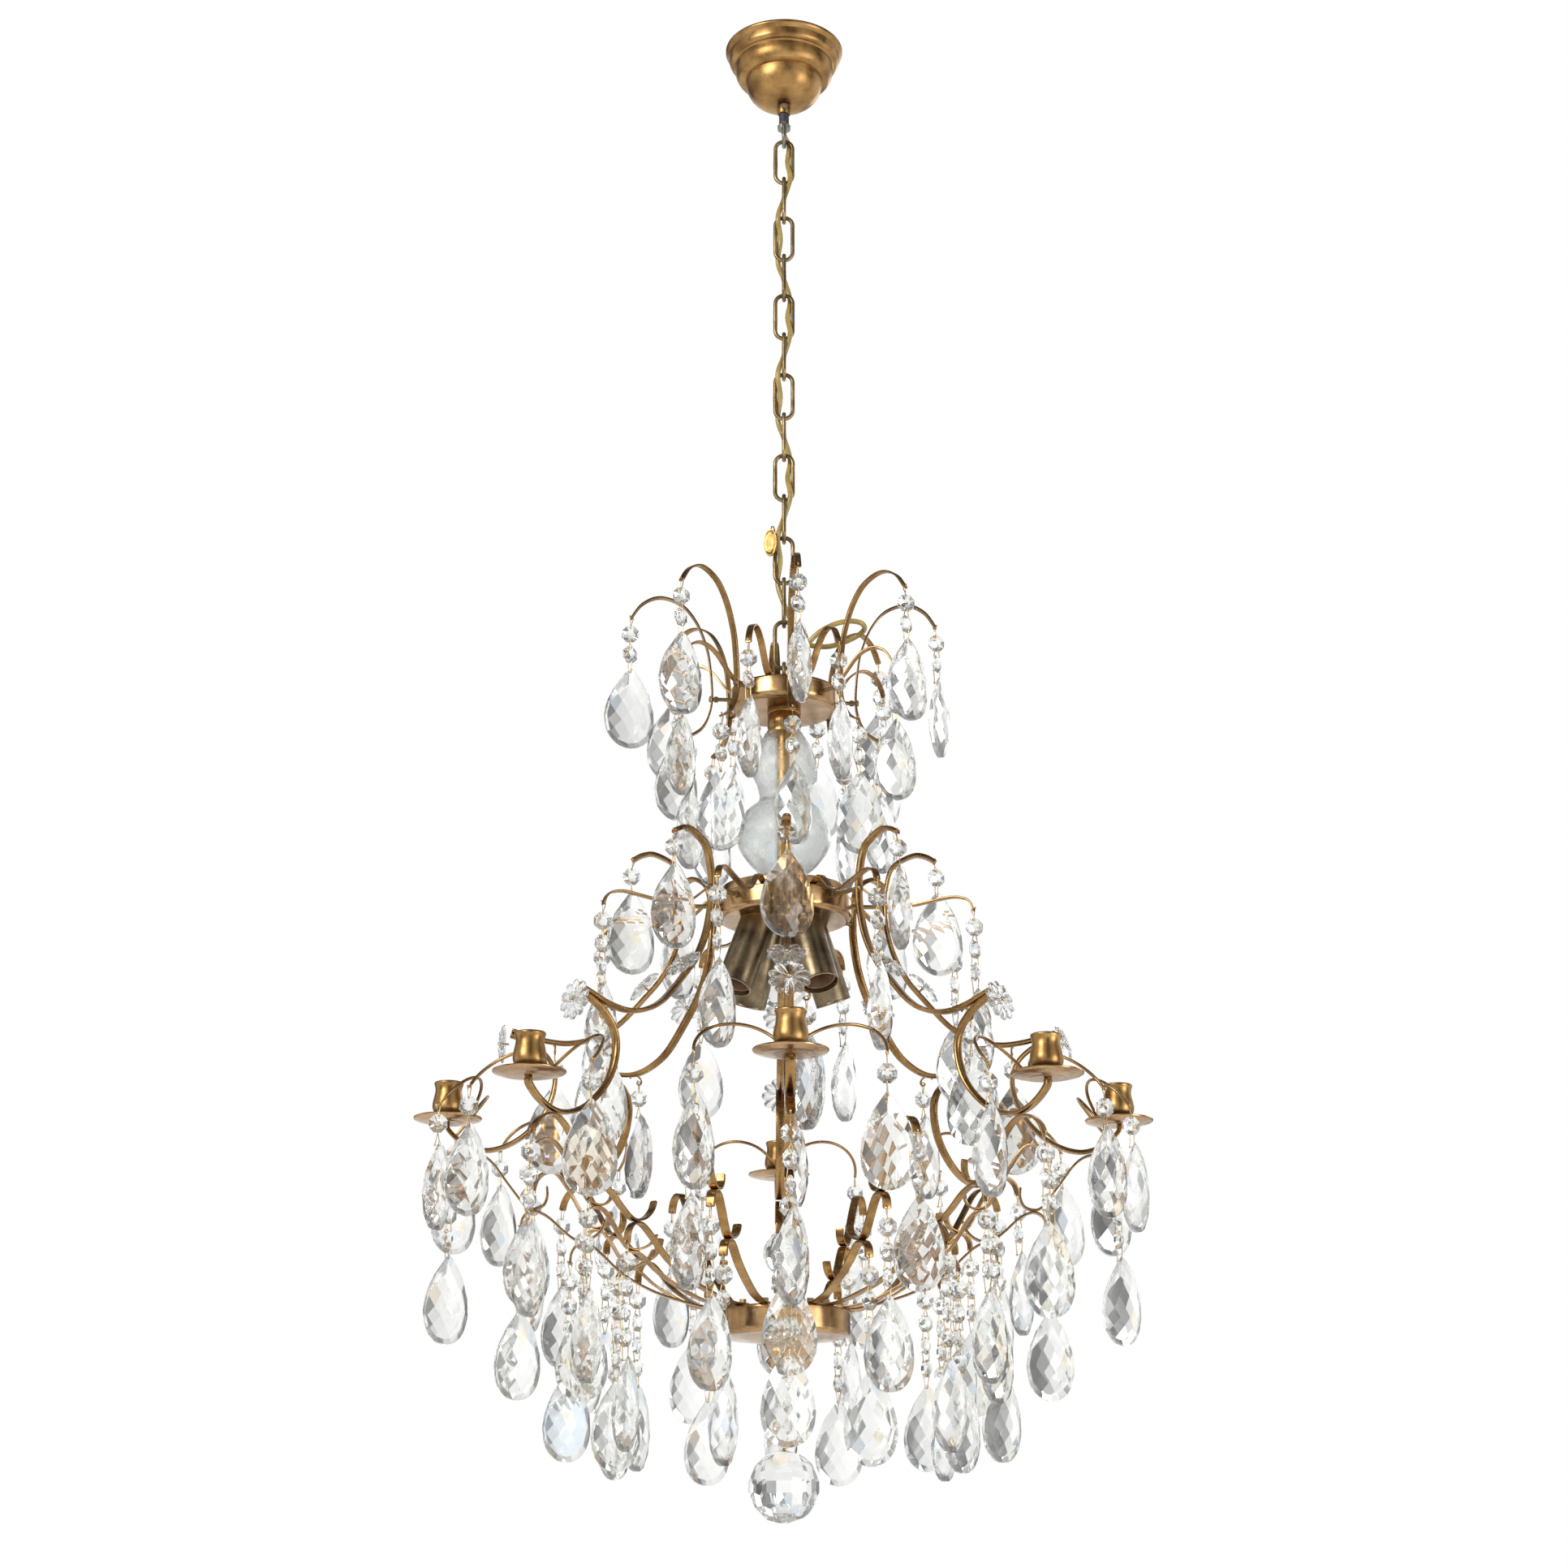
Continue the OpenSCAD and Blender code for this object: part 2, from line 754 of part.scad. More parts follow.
// Bent wires on each pan, one to each side
module pan_horns() {
    horn_r = 37.5;
    color(brass)
        at_pans()
            ring(main_turn)
                for (side = [-1, 1])
                    translate([292, side * 39.5, -1.6])
                        rotate([0, 0, 90 - side * 12])
                            rotate([90 - 38, 0, 0])
                                rotate_extrude(angle = 180)
                                    translate([horn_r, 0])
                                        circle(d = 2.8, $fn = 16);
}

// Pressed glass flowers on the main ribs
module rosettes() {
    flower = [for (a = [0 : 9 : 351]) (14.5 + 3.3 * abs(cos(5 * a))) * [cos(a), sin(a)]];
    color(glass)
        for (k = [0 : arms - 1])
            for (place = [[123, 118, 45], [247.5, 68, rosette_lean[k]]])
                at_hook([place[0], place[1]], main_turn, k)
                    rotate([0, place[2], 0])
                        translate([0, 0, 3.8])
                            linear_extrude(height = 5)
                                polygon(flower);
}

// Outer basket strips, under the arms
module basket_ribs_top() {
    color(brass)
        at_pans()
            ring(main_turn)
                strip(basket_top_line, strip_t, basket_w);
}

// Second tier of outer basket strips
module basket_ribs_mid() {
    color(brass)
        at_pans()
            ring(main_turn)
                strip(basket_mid_line, strip_t, basket_w);
}

// Outer basket strips that stand on the bottom dish
module basket_ribs_low() {
    color(brass)
        at_pans()
            ring(main_turn)
                strip(basket_low_line, strip_t, basket_w);
}

// Upper strips of the inner basket
module inner_ribs_top() {
    color(brass)
        at_pans()
            ring(inner_turn)
                strip(inner_top_line, strip_t, basket_w);
}

// Second tier of the inner basket
module inner_ribs_mid() {
    color(brass)
        at_pans()
            ring(inner_turn)
                strip(inner_mid_line, strip_t, basket_w);
}

// Inner basket strips that stand on the bottom dish
module inner_ribs_low() {
    color(brass)
        at_pans()
            ring(inner_turn)
                strip(inner_low_line, strip_t, basket_w);
}

// Dish at the foot of the basket
module bottom_dish() {
    color(brass)
        at_pans()
            turned_dish(dish_r, -192, -168, 42, 3, 7);
}

// Nuts that hold the basket strips to the dish
module dish_nuts() {
    color(dark_brass)
        at_pans()
            for (turn = [main_turn, inner_turn])
                ring(turn)
                    translate([51, 0, -165.85])
                        cylinder(h = 3, r = 3, $fn = 6);
}

// Solid glass ball on a flared foot
module glass_finial() {
    profile = [[3, -150], [11.4, -150], [11.4, -148.5], [7, -142], [7.5, -139]];
    ball = [for (a = [-62 : 12 : 82]) [18.5 * cos(a), -119 + 18.5 * sin(a)]];
    color(glass)
        at_pans()
            rotate_extrude($fn = 64)
                polygon(concat(profile, ball, [[0, -100.5], [0, -146], [3, -146]]));
}

// Rod through the dish, with a plate under the finial and an eye for the ball
module dish_post() {
    color(brass)
        at_pans() {
            translate([0, 0, -203])
                cylinder(h = 57, r = 3, $fn = 32);
            translate([0, 0, -153])
                cylinder(h = 3, r = 9, $fn = 32);
            translate([0, 0, -202.5])
                cylinder(h = 3, r = 6, $fn = 6);
            translate([0, 0, -206.5])
                rotate([90, 0, 90])
                    rotate_extrude()
                        translate([4.5, 0])
                            circle(d = 2, $fn = 16);
        }
}

// Almonds that hang from the crown
module crown_pendants() {
    color(glass) {
        drop_ring(crown_tip, crown_turn, 2, large_w, crown_look);
        drop_ring(crown_low_tip, crown_turn, 2, drop_w, crown_low_look);
        drop_ring(crown_strip_tip, crown_strip_turn, 2, drop_w, crown_strip_look);
    }
}

// Almonds that hang from the main ribs and the wavy strips
module middle_pendants() {
    color(glass) {
        drop_ring(rib_tip, main_turn, 1, large_w, rib_look);
        drop_ring(mid_tip, inner_turn, 3, drop_w, mid_look);
    }
}

// Almonds that hang from the horns
module horn_pendants() {
    color(glass) {
        drop_ring(horn_tip, main_turn, 1, drop_w, right_horn_look, horn_side);
        drop_ring(horn_tip, main_turn, 1, drop_w, left_horn_look, -horn_side);
    }
}

// Almonds that hang from the outer basket strips
module basket_pendants() {
    color(glass) {
        drop_ring(basket_top_line[0], main_turn, 3, drop_w, basket_top_look);
        drop_ring(basket_mid_line[0], main_turn, 3, drop_w, basket_mid_look);
        drop_ring(basket_low_line[0], main_turn, 4, drop_w, basket_low_look);
    }
}

// Almonds that hang from the inner basket strips
module inner_pendants() {
    color(glass) {
        drop_ring(inner_top_line[0], inner_turn, 2, drop_w, inner_top_look);
        drop_ring(inner_mid_line[0], inner_turn, 3, drop_w, inner_mid_look);
        drop_ring(inner_low_line[0], inner_turn, 4, drop_w, inner_low_look);
    }
}

// Beads of every string that is fixed to the frame
module bead_strings() {
    color(glass) {
        bead_ring(crown_tip, crown_turn, 2);
        bead_ring(crown_low_tip, crown_turn, 2);
        bead_ring(crown_strip_tip, crown_strip_turn, 2);
        bead_ring(rib_tip, main_turn, 1);
        bead_ring(mid_tip, inner_turn, 3);
        bead_ring(horn_tip, main_turn, 1, horn_side);
        bead_ring(horn_tip, main_turn, 1, -horn_side);
        bead_ring(basket_top_line[0], main_turn, 3);
        bead_ring(basket_mid_line[0], main_turn, 3);
        bead_ring(basket_low_line[0], main_turn, 4);
        bead_ring(inner_top_line[0], inner_turn, 2);
        bead_ring(inner_mid_line[0], inner_turn, 3);
        bead_ring(inner_low_line[0], inner_turn, 4);
    }
}

// Free-swinging large pendant beside arm k: one bead and one almond
module arm_pendant(k) {
    color(glass)
        at_hook(arm_hang, main_turn, k - 1, arm_hang_sides[k - 1]) {
            beads(1, facing(main_turn, k - 1));
            drop(1, large_w, large_h, facing(main_turn, k - 1) + arm_look[k - 1]);
        }
}
module arm_pendant_1() { arm_pendant(1); }
module arm_pendant_2() { arm_pendant(2); }
module arm_pendant_3() { arm_pendant(3); }
module arm_pendant_4() { arm_pendant(4); }
module arm_pendant_5() { arm_pendant(5); }
module arm_pendant_6() { arm_pendant(6); }
module arm_pendant_7() { arm_pendant(7); }
module arm_pendant_8() { arm_pendant(8); }

// Ball on a short string of beads below the bottom dish
module crystal_ball() {
    color(glass)
        at_pans() {
            translate([0, 0, ball_drop])
                beads(3, facing(0, 0));
            translate([0, 0, ball_z])
                sphere(r = ball_r, $fn = 48);
        }
}

hook_eye();
hanger_tube();
terminal_block();
hanger_sleeve();
hanger_loop();
cord_hanger();
canopy();
canopy_collar();
collar_screw();
chain_links();
seal_tag();
cord_chain();
crown_eye();
crown_dish();
crown_screws();
crown_ribs();
crown_strips();
crown_collar();
stem_tube();
glass_baluster();
cord_frame();
drum_body();
drum_lid();
drum_spokes();
main_ribs();
mid_strips();
socket_sleeves();
socket_liners();
lamp_terminal();
candle_arms();
drip_pans();
candle_cups();
cup_screws();
pan_horns();
rosettes();
basket_ribs_top();
basket_ribs_mid();
basket_ribs_low();
inner_ribs_top();
inner_ribs_mid();
inner_ribs_low();
bottom_dish();
dish_nuts();
glass_finial();
dish_post();
crown_pendants();
middle_pendants();
horn_pendants();
basket_pendants();
inner_pendants();
bead_strings();
arm_pendant_1();
arm_pendant_2();
arm_pendant_3();
arm_pendant_4();
arm_pendant_5();
arm_pendant_6();
arm_pendant_7();
arm_pendant_8();
crystal_ball();
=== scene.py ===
import bpy
import json
import random
from itertools import combinations
from math import sin, cos, acos, pi, radians, sqrt, atan2, copysign
import numpy as np
from mathutils import Vector, Matrix


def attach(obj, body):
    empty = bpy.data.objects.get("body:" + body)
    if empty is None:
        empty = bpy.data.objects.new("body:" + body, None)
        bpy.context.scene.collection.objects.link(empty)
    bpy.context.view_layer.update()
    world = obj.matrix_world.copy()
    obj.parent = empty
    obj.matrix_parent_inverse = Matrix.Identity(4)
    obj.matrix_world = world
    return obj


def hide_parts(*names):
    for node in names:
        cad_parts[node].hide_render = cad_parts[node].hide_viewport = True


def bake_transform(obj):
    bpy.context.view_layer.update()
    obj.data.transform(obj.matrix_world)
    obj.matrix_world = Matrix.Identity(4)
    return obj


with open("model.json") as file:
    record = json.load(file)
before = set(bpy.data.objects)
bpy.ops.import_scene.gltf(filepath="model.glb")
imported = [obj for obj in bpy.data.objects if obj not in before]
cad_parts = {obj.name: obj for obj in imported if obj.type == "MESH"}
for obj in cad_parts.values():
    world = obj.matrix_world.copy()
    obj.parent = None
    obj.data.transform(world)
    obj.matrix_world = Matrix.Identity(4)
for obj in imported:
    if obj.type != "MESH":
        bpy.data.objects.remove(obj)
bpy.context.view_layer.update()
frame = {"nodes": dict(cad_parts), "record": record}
random.seed(7)

MM = 0.001
PAN = -1094.0
ARMS = 8
STEP = 45.0
CANDLE_R = 300
TURN = {"main": 1.0, "inner": 26.5, "crown": 5.0, "crown_strip": 27.5}

# ---------------------------------------------------------------- routes and centre lines, in mm as in the CAD
CHAIN_ROUTE = [(0, 0, -90.3), (0, 0, -94), (1, 1, -98), (5, 5, -106), (3.5, 0, -127), (6, -6, -149), (0, -3.5, -170),
               (-6, -6, -192), (-3.5, 0, -213), (-6, 6, -235), (0, 3.5, -256), (6, 6, -277),
               (3.5, 0, -299), (6, -6, -320), (0, -3.5, -342), (-6, -6, -363), (-3.5, 0, -385),
               (-6, 6, -406), (0, 3.5, -427), (6, 6, -449), (3.5, 0, -470), (6, -6, -492),
               (0, -3.5, -513), (-6, -6, -535), (-3.5, 0, -556), (-6, 6, -577), (0, 3.5, -599),
               (5.5, 6, -612), (6, 6, -620)]
FRAME_ROUTE = [(6, 6, -620.3), (6.5, 6, -625), (13, 8, -633), (26, 11, -638), (42, 11, -639), (58, 9, -635),
               (70, 5, -630), (76, -2, -626), (73, -9, -623), (62, -12, -622), (48, -12, -625),
               (34, -10, -632), (24, -7, -641), (18, -5, -652), (15, -4, -665), (14, -3, -678),
               (12, -2, -690), (8.5, -1, -700)]
LINES = {
    "crown_ribs": [(145, 473.5), (134, 489), (117, 496), (97, 489), (83, 472), (74, 450), (70, 431), (67.5, 400),
                   (70, 381), (77, 367), (89, 358.6)],
    "crown_strips": [(40, 407), (48, 407.5), (55, 412), (63, 422), (70, 431), (79, 438), (89, 440), (99, 435),
                     (105, 425), (107, 417)],
    "main_ribs": [(140, 240), (130, 245.5), (118, 246), (100, 235), (93.5, 215), (92, 200), (93, 180), (99, 154),
                  (110, 131), (124, 113), (150, 85), (172, 73), (194, 68.5), (216, 71), (234, 76.5), (245, 80)],
    "mid_strips": [(58.2, 205.1), (66, 207.5), (74, 208), (84, 200), (96, 191), (111, 187), (138, 190),
                   (158, 192.5), (170, 190.5), (176, 186), (179, 178)],
    "candle_arms": [(246.2, 75.6), (235.3, 72), (223, 65.2), (211.5, 54.5), (206, 42), (206, 28), (211, 11),
                    (221, -4), (235, -17), (250, -25), (265, -28), (279, -25), (290, -18.5), (297, -12),
                    (299.8, -8), (300, -4.2)],
    "basket_ribs_top": [(296, -50), (292.5, -41.4), (285, -33.8), (275, -31.2), (266, -33.8), (257, -41.4),
                        (246, -56), (235, -70), (228, -78), (221, -80), (213, -77), (209.5, -69), (210, -60)],
    "basket_ribs_mid": [(232, -97.5), (231, -89), (227, -84), (221, -82.1), (214, -84), (206, -89), (195, -99),
                        (185, -106.5), (177, -108), (168, -105), (161, -98), (158, -90)],
    "basket_ribs_low": [(188, -129), (187, -119), (183, -112.5), (177, -110.1), (170, -112), (160, -120),
                        (140, -138), (112, -153), (84, -162), (68, -165.8), (60, -166.9), (46, -166.9)],
    "inner_ribs_top": [(242, -51), (239, -42), (233, -36.5), (225, -35), (217, -39), (207, -52), (196, -70),
                       (187, -84), (179, -88), (171, -86.5), (166, -81), (165, -74)],
    "inner_ribs_mid": [(190, -105), (189, -97), (185, -91.5), (179, -90.1), (172, -92.5), (165, -101),
                       (156, -115), (150, -122), (144, -124), (135, -122), (127, -117), (123, -110)],
    "inner_ribs_low": [(158, -141), (157, -133), (152, -127.5), (144, -126.1), (136, -129), (122, -141),
                       (104, -152), (84, -161.5), (68, -165.8), (60, -166.9), (46, -166.9)],
}
# turn of each almond from the front view, for strings 0 to 7 of a ring
# the last arm drop is 12 in the CAD; here 35 keeps its thicker rim off the arm at the limit of its swing
LOOK = {
    "crown_tips": (70, 45, 72, 20, 60, 35, 30, 45), "crown_feet": (45, 15, 50, 70, 10, 40, 55, 0),
    "crown_strips": (64, 33, 50, 15, 75, 30, 58, 65), "main_ribs": (25, 68, 25, 40, 10, 55, 37, 44),
    "mid_strips": (66, 48, 30, 60, 20, 50, 58, 49), "right_horns": (5, 40, 30, 65, 20, 50, 70, 15),
    "left_horns": (48, 50, 55, 25, 60, 10, 35, 45), "basket_ribs_top": (55, 20, 38, 60, 20, 45, 40, 62),
    "basket_ribs_mid": (0, 47, 20, 45, 70, 15, 35, 65), "basket_ribs_low": (0, 51, 40, 15, 50, 65, 30, 69),
    "inner_ribs_top": (20, 52, 60, 20, 45, 70, 37, 56), "inner_ribs_mid": (25, 50, 20, 65, 10, 45, 10, 41),
    "inner_ribs_low": (5, 45, 60, 10, 25, 55, 30, 63), "arms": (122, 144, 7, 56, 71, 121, 171, 35),
}
ARM_SIDE = (15, 15, 15, 15, -15, -15, -15, -15)
BEAD_DROP, BEAD_PITCH, ALMOND_DROP = 15.0, 20.5, 14.0
BEAD_D, BEAD_T, DROP_T, BALL_R = 17.0, 8.0, 14.0, 31.0
# holes from the bead's middle and the almond's top, half the pins' bars, and the turn from bead to bead
BEAD_HOLE, BEAD_BAR, BEAD_TURN = 5.7, 3.1, 40
ALMOND_HOLE, ALMOND_BAR = 4.6, 2.3
# height of the ball string's hook and of the ball, from the pans
BALL_HANG, BALL_Z = -212, -318
# radius and height of the arm drops' hooks
ARM_HANG = (207, 64)


def smooth(pts, n):
    """Catmull-Rom curve through the points, n steps between each two."""
    p = [Vector(q) for q in pts]
    out = []
    for i in range(len(p) - 1):
        a, b, c, d = p[max(i - 1, 0)], p[i], p[i + 1], p[min(i + 2, len(p) - 1)]
        for k in range(n):
            t = k / n
            out.append(0.5 * (2 * b + (c - a) * t + (2 * a - 5 * b + 4 * c - d) * t * t
                              + (3 * b - a - 3 * c + d) * t * t * t))
    return out + [p[-1]]


# ---------------------------------------------------------------- camera
cam_data = bpy.data.cameras.new("photo_camera")
cam_data.sensor_width = 36.0
cam_data.lens = 62.4
cam_data.clip_end = 50
cam = bpy.data.objects.new("photo_camera", cam_data)
cam.location = (0, -2.407, -1.538)
cam.rotation_euler = (radians(107.5), 0, 0)
bpy.context.scene.collection.objects.link(cam)
bpy.context.scene.camera = cam
bpy.context.scene.view_settings.view_transform = "Standard"


# ---------------------------------------------------------------- materials
def new_material(name):
    m = bpy.data.materials.new(name)
    m.use_nodes = True
    nt = m.node_tree
    return m, nt.nodes, nt.links, nt.nodes["Principled BSDF"]


def noise_at(nodes, links, vec, scale, detail=3.0, rough=0.55, stretch=None):
    """Noise in object coordinates; scale counts features in a metre."""
    if stretch:
        mp = nodes.new("ShaderNodeMapping")
        mp.inputs["Scale"].default_value = stretch
        links.new(vec, mp.inputs["Vector"])
        vec = mp.outputs["Vector"]
    n = nodes.new("ShaderNodeTexNoise")
    n.inputs["Scale"].default_value = scale
    n.inputs["Detail"].default_value = detail
    n.inputs["Roughness"].default_value = rough
    links.new(vec, n.inputs["Vector"])
    return n.outputs["Fac"]


def ramp(nodes, links, fac, stops):
    r = nodes.new("ShaderNodeValToRGB")
    els = r.color_ramp.elements
    while len(els) < len(stops):
        els.new(0.5)
    for e, (pos, col) in zip(els, stops):
        e.position = pos
        e.color = (*col, 1) if len(col) == 3 else col
    links.new(fac, r.inputs["Fac"])
    return r.outputs["Color"]


def span(nodes, links, fac, lo, hi, a=0.3, b=0.7):
    r = nodes.new("ShaderNodeMapRange")
    r.inputs["From Min"].default_value = a
    r.inputs["From Max"].default_value = b
    r.inputs["To Min"].default_value = lo
    r.inputs["To Max"].default_value = hi
    links.new(fac, r.inputs["Value"])
    return r.outputs["Result"]


def mix(nodes, links, fac, a, b, mode="MIX"):
    m = nodes.new("ShaderNodeMix")
    m.data_type = "RGBA"
    m.blend_type = mode
    for value, sock in ((fac, m.inputs[0]), (a, m.inputs[6]), (b, m.inputs[7])):
        if isinstance(value, (int, float)):
            sock.default_value = value
        elif isinstance(value, tuple):
            sock.default_value = (*value, 1)
        else:
            links.new(value, sock)
    return m.outputs[2]


def bump(nodes, links, height, strength, distance, after=None):
    b = nodes.new("ShaderNodeBump")
    b.inputs["Strength"].default_value = strength
    b.inputs["Distance"].default_value = distance
    links.new(height, b.inputs["Height"])
    if after:
        links.new(after, b.inputs["Normal"])
    return b.outputs["Normal"]


def metal(name, body, dark, bright, rough=(0.24, 0.42), brush=None, grime=0.5, wear=True, pit=0.25):
    """Satin metal: patchy tone, darker tarnish, bright worn edges, fine brushing and small pits."""
    m, nodes, links, bsdf = new_material(name)
    vec = nodes.new("ShaderNodeTexCoord").outputs["Object"]
    patches = noise_at(nodes, links, vec, 38, 4, 0.6)
    stains = noise_at(nodes, links, vec, 150, 5, 0.65)
    fine = noise_at(nodes, links, vec, 1400, 2, 0.5, brush)
    col = ramp(nodes, links, patches, [(0.3, dark), (0.5, body), (0.72, bright)])
    spots = span(nodes, links, stains, 0.0, grime, 0.5, 0.75)
    col = mix(nodes, links, spots, col, dark)
    if wear:
        geo = nodes.new("ShaderNodeNewGeometry")
        edge = span(nodes, links, geo.outputs["Pointiness"], 0.0, 0.75, 0.52, 0.6)
        crease = span(nodes, links, geo.outputs["Pointiness"], 0.85, 0.0, 0.4, 0.48)
        col = mix(nodes, links, edge, col, bright)
        col = mix(nodes, links, crease, col, dark)
    links.new(col, bsdf.inputs["Base Color"])
    bsdf.inputs["Metallic"].default_value = 1.0
    links.new(span(nodes, links, stains, rough[0], rough[1]), bsdf.inputs["Roughness"])
    pits = bump(nodes, links, stains, pit, 0.0003)
    links.new(bump(nodes, links, fine, 0.16, 0.00008, pits), bsdf.inputs["Normal"])
    return m


def glass(name, tint, ior, rough, wave, wave_scale, haze=None, clear=0.87):
    """Clear glass with a faint tint that varies and slight surface waves. Haze makes it unevenly cloudy."""
    m, nodes, links, bsdf = new_material(name)
    vec = nodes.new("ShaderNodeTexCoord").outputs["Object"]
    cloud = noise_at(nodes, links, vec, 45, 2)
    col = ramp(nodes, links, cloud, [(0.35, tuple(c * 0.97 for c in tint)), (0.65, tint)])
    links.new(col, bsdf.inputs["Base Color"])
    bsdf.inputs["Transmission Weight"].default_value = 1.0
    bsdf.inputs["IOR"].default_value = ior
    if haze:
        links.new(span(nodes, links, noise_at(nodes, links, vec, haze[0], 4), haze[1], haze[2]),
                  bsdf.inputs["Roughness"])
    else:
        links.new(span(nodes, links, cloud, rough * 0.6, rough * 1.4), bsdf.inputs["Roughness"])
    bsdf.inputs["Alpha"].default_value = clear
    w = noise_at(nodes, links, vec, wave_scale, 2)
    links.new(bump(nodes, links, w, wave, 0.0004), bsdf.inputs["Normal"])
    return m


def plastic(name, a, b, rough, scale, strength, coat=0.0, see=0.0, sub=0.0):
    m, nodes, links, bsdf = new_material(name)
    vec = nodes.new("ShaderNodeTexCoord").outputs["Object"]
    n = noise_at(nodes, links, vec, scale, 4)
    g = noise_at(nodes, links, vec, scale * 9, 2)
    links.new(ramp(nodes, links, n, [(0.3, a), (0.7, b)]), bsdf.inputs["Base Color"])
    links.new(span(nodes, links, n, rough * 0.8, rough * 1.25), bsdf.inputs["Roughness"])
    links.new(bump(nodes, links, g, strength, 0.0002), bsdf.inputs["Normal"])
    bsdf.inputs["Coat Weight"].default_value = coat
    bsdf.inputs["Coat Roughness"].default_value = 0.15
    bsdf.inputs["Transmission Weight"].default_value = see
    if sub:
        bsdf.inputs["Subsurface Weight"].default_value = sub
        bsdf.inputs["Subsurface Scale"].default_value = 0.003
    return m


MAT = {
    "aged_brass": metal("aged_brass", (0.30, 0.17, 0.064), (0.17, 0.09, 0.034), (0.44, 0.27, 0.11),
                        rough=(0.2, 0.32), brush=(1, 1, 0.12), grime=0.15, pit=0.06),
    "spun_brass": metal("spun_brass", (0.40, 0.245, 0.115), (0.26, 0.15, 0.065), (0.52, 0.34, 0.17),
                        rough=(0.17, 0.27), brush=(0.2, 0.2, 2.2), grime=0.12, pit=0.05),
    "gold_brass": metal("gold_brass", (0.37, 0.21, 0.075), (0.19, 0.1, 0.035), (0.54, 0.34, 0.13),
                        rough=(0.28, 0.42), brush=(0.3, 0.3, 1.6), grime=0.18, pit=0.07),
    "dark_brass": metal("dark_brass", (0.2, 0.135, 0.06), (0.055, 0.037, 0.02), (0.46, 0.33, 0.16),
                        rough=(0.28, 0.48), grime=0.8, pit=0.4),
    "wire_brass": metal("wire_brass", (0.62, 0.46, 0.24), (0.34, 0.22, 0.1), (0.85, 0.68, 0.42),
                        rough=(0.2, 0.32), grime=0.3, wear=False),
    "bronze": metal("bronze", (0.21, 0.16, 0.095), (0.09, 0.065, 0.04), (0.36, 0.29, 0.19),
                    rough=(0.26, 0.42), brush=(0.25, 0.25, 2.5), grime=0.5),
    "steel": metal("steel", (0.2, 0.185, 0.16), (0.09, 0.08, 0.07), (0.38, 0.355, 0.32), rough=(0.3, 0.5)),
    "black_plastic": plastic("black_plastic", (0.014, 0.014, 0.015), (0.035, 0.034, 0.034), 0.42, 220, 0.25),
    "ivory_plastic": plastic("ivory_plastic", (0.62, 0.57, 0.44), (0.74, 0.69, 0.57), 0.34, 90, 0.12, 0.2),
    "socket_liner": plastic("socket_liner", (0.13, 0.07, 0.034), (0.22, 0.125, 0.065), 0.36, 120, 0.15, 0.3),
    "flex_pvc": plastic("flex_pvc", (0.26, 0.17, 0.035), (0.42, 0.30, 0.075), 0.24, 60, 0.1, 0.5, 0.18, 0.2),
    "crystal": glass("crystal", (0.985, 0.995, 0.968), 1.47, 0.006, 0.006, 160),
    # warm and cool tinted glass that a few random facets of the stones get: painted rainbow glints standing in for
    # dispersion
    "crystal_painted_glint_warm": glass("crystal_painted_glint_warm", (1.0, 0.86, 0.62), 1.47, 0.006, 0.006, 160),
    "crystal_painted_glint_cool": glass("crystal_painted_glint_cool", (0.72, 0.86, 1.0), 1.47, 0.006, 0.006, 160),
    "blown_glass": glass("blown_glass", (0.955, 0.97, 0.955), 1.4, 0.05, 0.3, 55, haze=(60, 0.1, 0.4)),
    "pressed_glass": glass("pressed_glass", (0.975, 0.985, 0.965), 1.36, 0.1, 0.12, 300),
}


# ---------------------------------------------------------------- mesh kit
class Part:
    """Collects verts and faces in mm, then becomes one piece in metres."""

    def __init__(self, name):
        self.name, self.v, self.f, self.flat, self.mat = name, [], [], [], []

    def add(self, shape, place=None, flat=False, spark=False):
        verts, faces = shape
        base = len(self.v)
        if place is None:
            self.v.extend(tuple(p) for p in verts)
        else:
            self.v.extend(tuple(place @ Vector(p)) for p in verts)
        self.f.extend(tuple(i + base for i in f) for f in faces)
        self.flat.extend([flat] * len(faces))
        # a few random facets take the warm or cool tinted glass in slots 1 and 2: painted rainbow glints
        for _ in faces:
            q = random.random() if spark else 1.0
            self.mat.append(1 if q < 0.035 else 2 if q < 0.06 else 0)
        return self

    def done(self, body, material, *nodes, slot=None, edge=None, bevel=0.0):
        me = bpy.data.meshes.new(self.name)
        me.from_pydata([(x * MM, y * MM, z * MM) for x, y, z in self.v], [], self.f)
        me.polygons.foreach_set("use_smooth", [not x for x in self.flat])
        me.materials.append(MAT[material])
        # slots 1 and 2: the warm and cool tinted glass of the painted rainbow glints
        if any(self.mat):
            me.materials.append(MAT["crystal_painted_glint_warm"])
            me.materials.append(MAT["crystal_painted_glint_cool"])
            me.polygons.foreach_set("material_index", self.mat)
        me.update()
        if edge is not None:
            me.set_sharp_from_angle(angle=radians(edge))
        ob = bpy.data.objects.new(self.name, me)
        bpy.context.scene.collection.objects.link(ob)
        if bevel:
            b = ob.modifiers.new("edge", "BEVEL")
            b.width = bevel * MM
            b.segments = 2
            b.limit_method = "ANGLE"
            b.angle_limit = radians(35)
        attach(ob, body)
        if nodes:
            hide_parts(*nodes)
        return ob


def shift(x, y, z):
    return Matrix.Translation((x, y, z))


def turn(deg, axis="Z"):
    return Matrix.Rotation(radians(deg), 4, axis)


def ring_place(kind, k):
    return turn(-90 + TURN[kind] + k * STEP)


